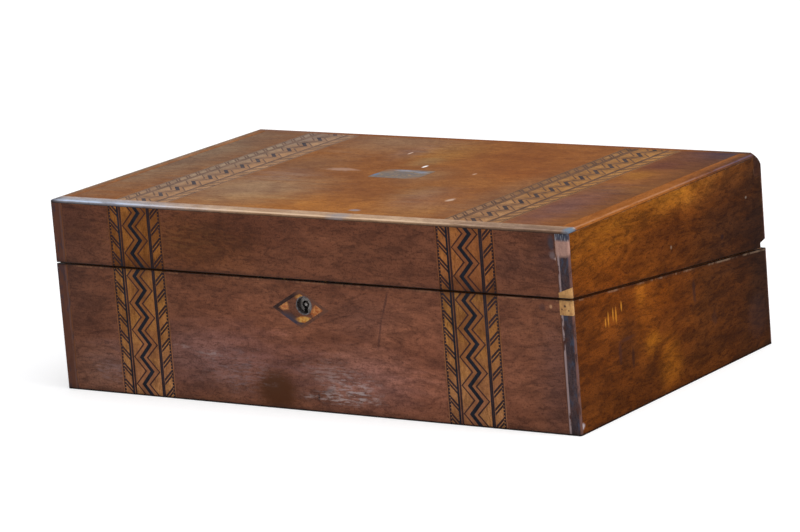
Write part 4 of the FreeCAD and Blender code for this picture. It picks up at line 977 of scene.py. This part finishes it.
floor_mesh = bpy.data.meshes.new("floor")
floor_mesh.from_pydata([(x * FLOOR_REACH, y * FLOOR_REACH, FLOOR_LEVEL)
                        for x, y in ((-1, -1), (1, -1), (1, 1), (-1, 1))], [], [(0, 1, 2, 3)])
floor = bpy.data.objects.new("floor", floor_mesh)
bpy.context.scene.collection.objects.link(floor)


def background_ray(n):
    """1 for the rays that show the background: straight from the camera, or by way of gloss or glass."""
    by_gloss = n.either(n.node("LightPath", "Is Camera Ray"), n.node("LightPath", "Is Glossy Ray"))
    return n.either(by_gloss, n.node("LightPath", "Is Transmission Ray"))


paint = Shader("pale_floor")
far_glow = paint.span(paint.vector("LENGTH", paint.place(), None, "Value"), *FAR_FLOOR, 0.0, FAR_GLOW)
glow = paint.plus(paint.times(background_ray(paint), FLOOR_GLOW),
                  paint.times(paint.node("LightPath", "Is Camera Ray"), far_glow))
paint.show(paint.node("AddShader", i0=paint.node("BsdfDiffuse", Color=FLOOR_GREY),
                      i1=paint.node("Emission", Color=WHITE, Strength=glow)))
floor_mesh.materials.append(paint.material)

world = bpy.data.worlds.new("studio")
bpy.context.scene.world = world
world.use_nodes = True
room = Nodes(world.node_tree, "ShaderNodeOutputWorld")
room.show(room.node("Background", Color=room.mix(background_ray(room), ROOM_GREY, WHITE)))


LIT_POINT = Vector((0, 0, 0.05))


def lamp(name, place, size, power, colour=(1, 1, 1)):
    """A soft rectangular light aimed at the middle of the case."""
    light = bpy.data.lights.new(name, "AREA")
    light.shape = "RECTANGLE"
    light.size, light.size_y = size
    light.energy = power
    light.color = colour
    obj = bpy.data.objects.new(name, light)
    bpy.context.scene.collection.objects.link(obj)
    obj.location = place
    obj.rotation_euler = (LIT_POINT - Vector(place)).to_track_quat("-Z", "Y").to_euler()


lamp("overhead", (0.3, -0.2, 2.2), (2.0, 2.0), 34)
lamp("right_key", (2.4, 0.1, 1.2), (1.4, 1.2), 40, (1.0, 0.97, 0.93))
lamp("window", (-2.2, 1.6, 1.3), (0.8, 0.6), 3, (0.86, 0.93, 1.0))
lamp("front_fill", (-0.6, -2.4, 1.0), (1.6, 1.2), 12)

# where the camera looks, its direction and distance from there and its roll, fitted to the photo
TARGET = Vector((-0.0054, -0.0026, 0.0595))
DISTANCE = 2.381
AZIMUTH, ELEVATION, ROLL = math.radians(34.93), math.radians(12.46), math.radians(-4.62)
LENS, SENSOR = 186.44, 36.0

away = Vector((math.sin(AZIMUTH) * math.cos(ELEVATION), -math.cos(AZIMUTH) * math.cos(ELEVATION),
               math.sin(ELEVATION)))
camera_data = bpy.data.cameras.new("camera")
camera_data.lens = LENS
camera_data.sensor_width = SENSOR
camera = bpy.data.objects.new("camera", camera_data)
bpy.context.scene.collection.objects.link(camera)
camera.location = TARGET + away * DISTANCE
facing = (-away).to_track_quat("-Z", "Y") @ Matrix.Rotation(ROLL, 4, "Z").to_quaternion()
camera.rotation_euler = facing.to_euler()
bpy.context.scene.camera = camera
bpy.context.scene.view_settings.view_transform = "Standard"
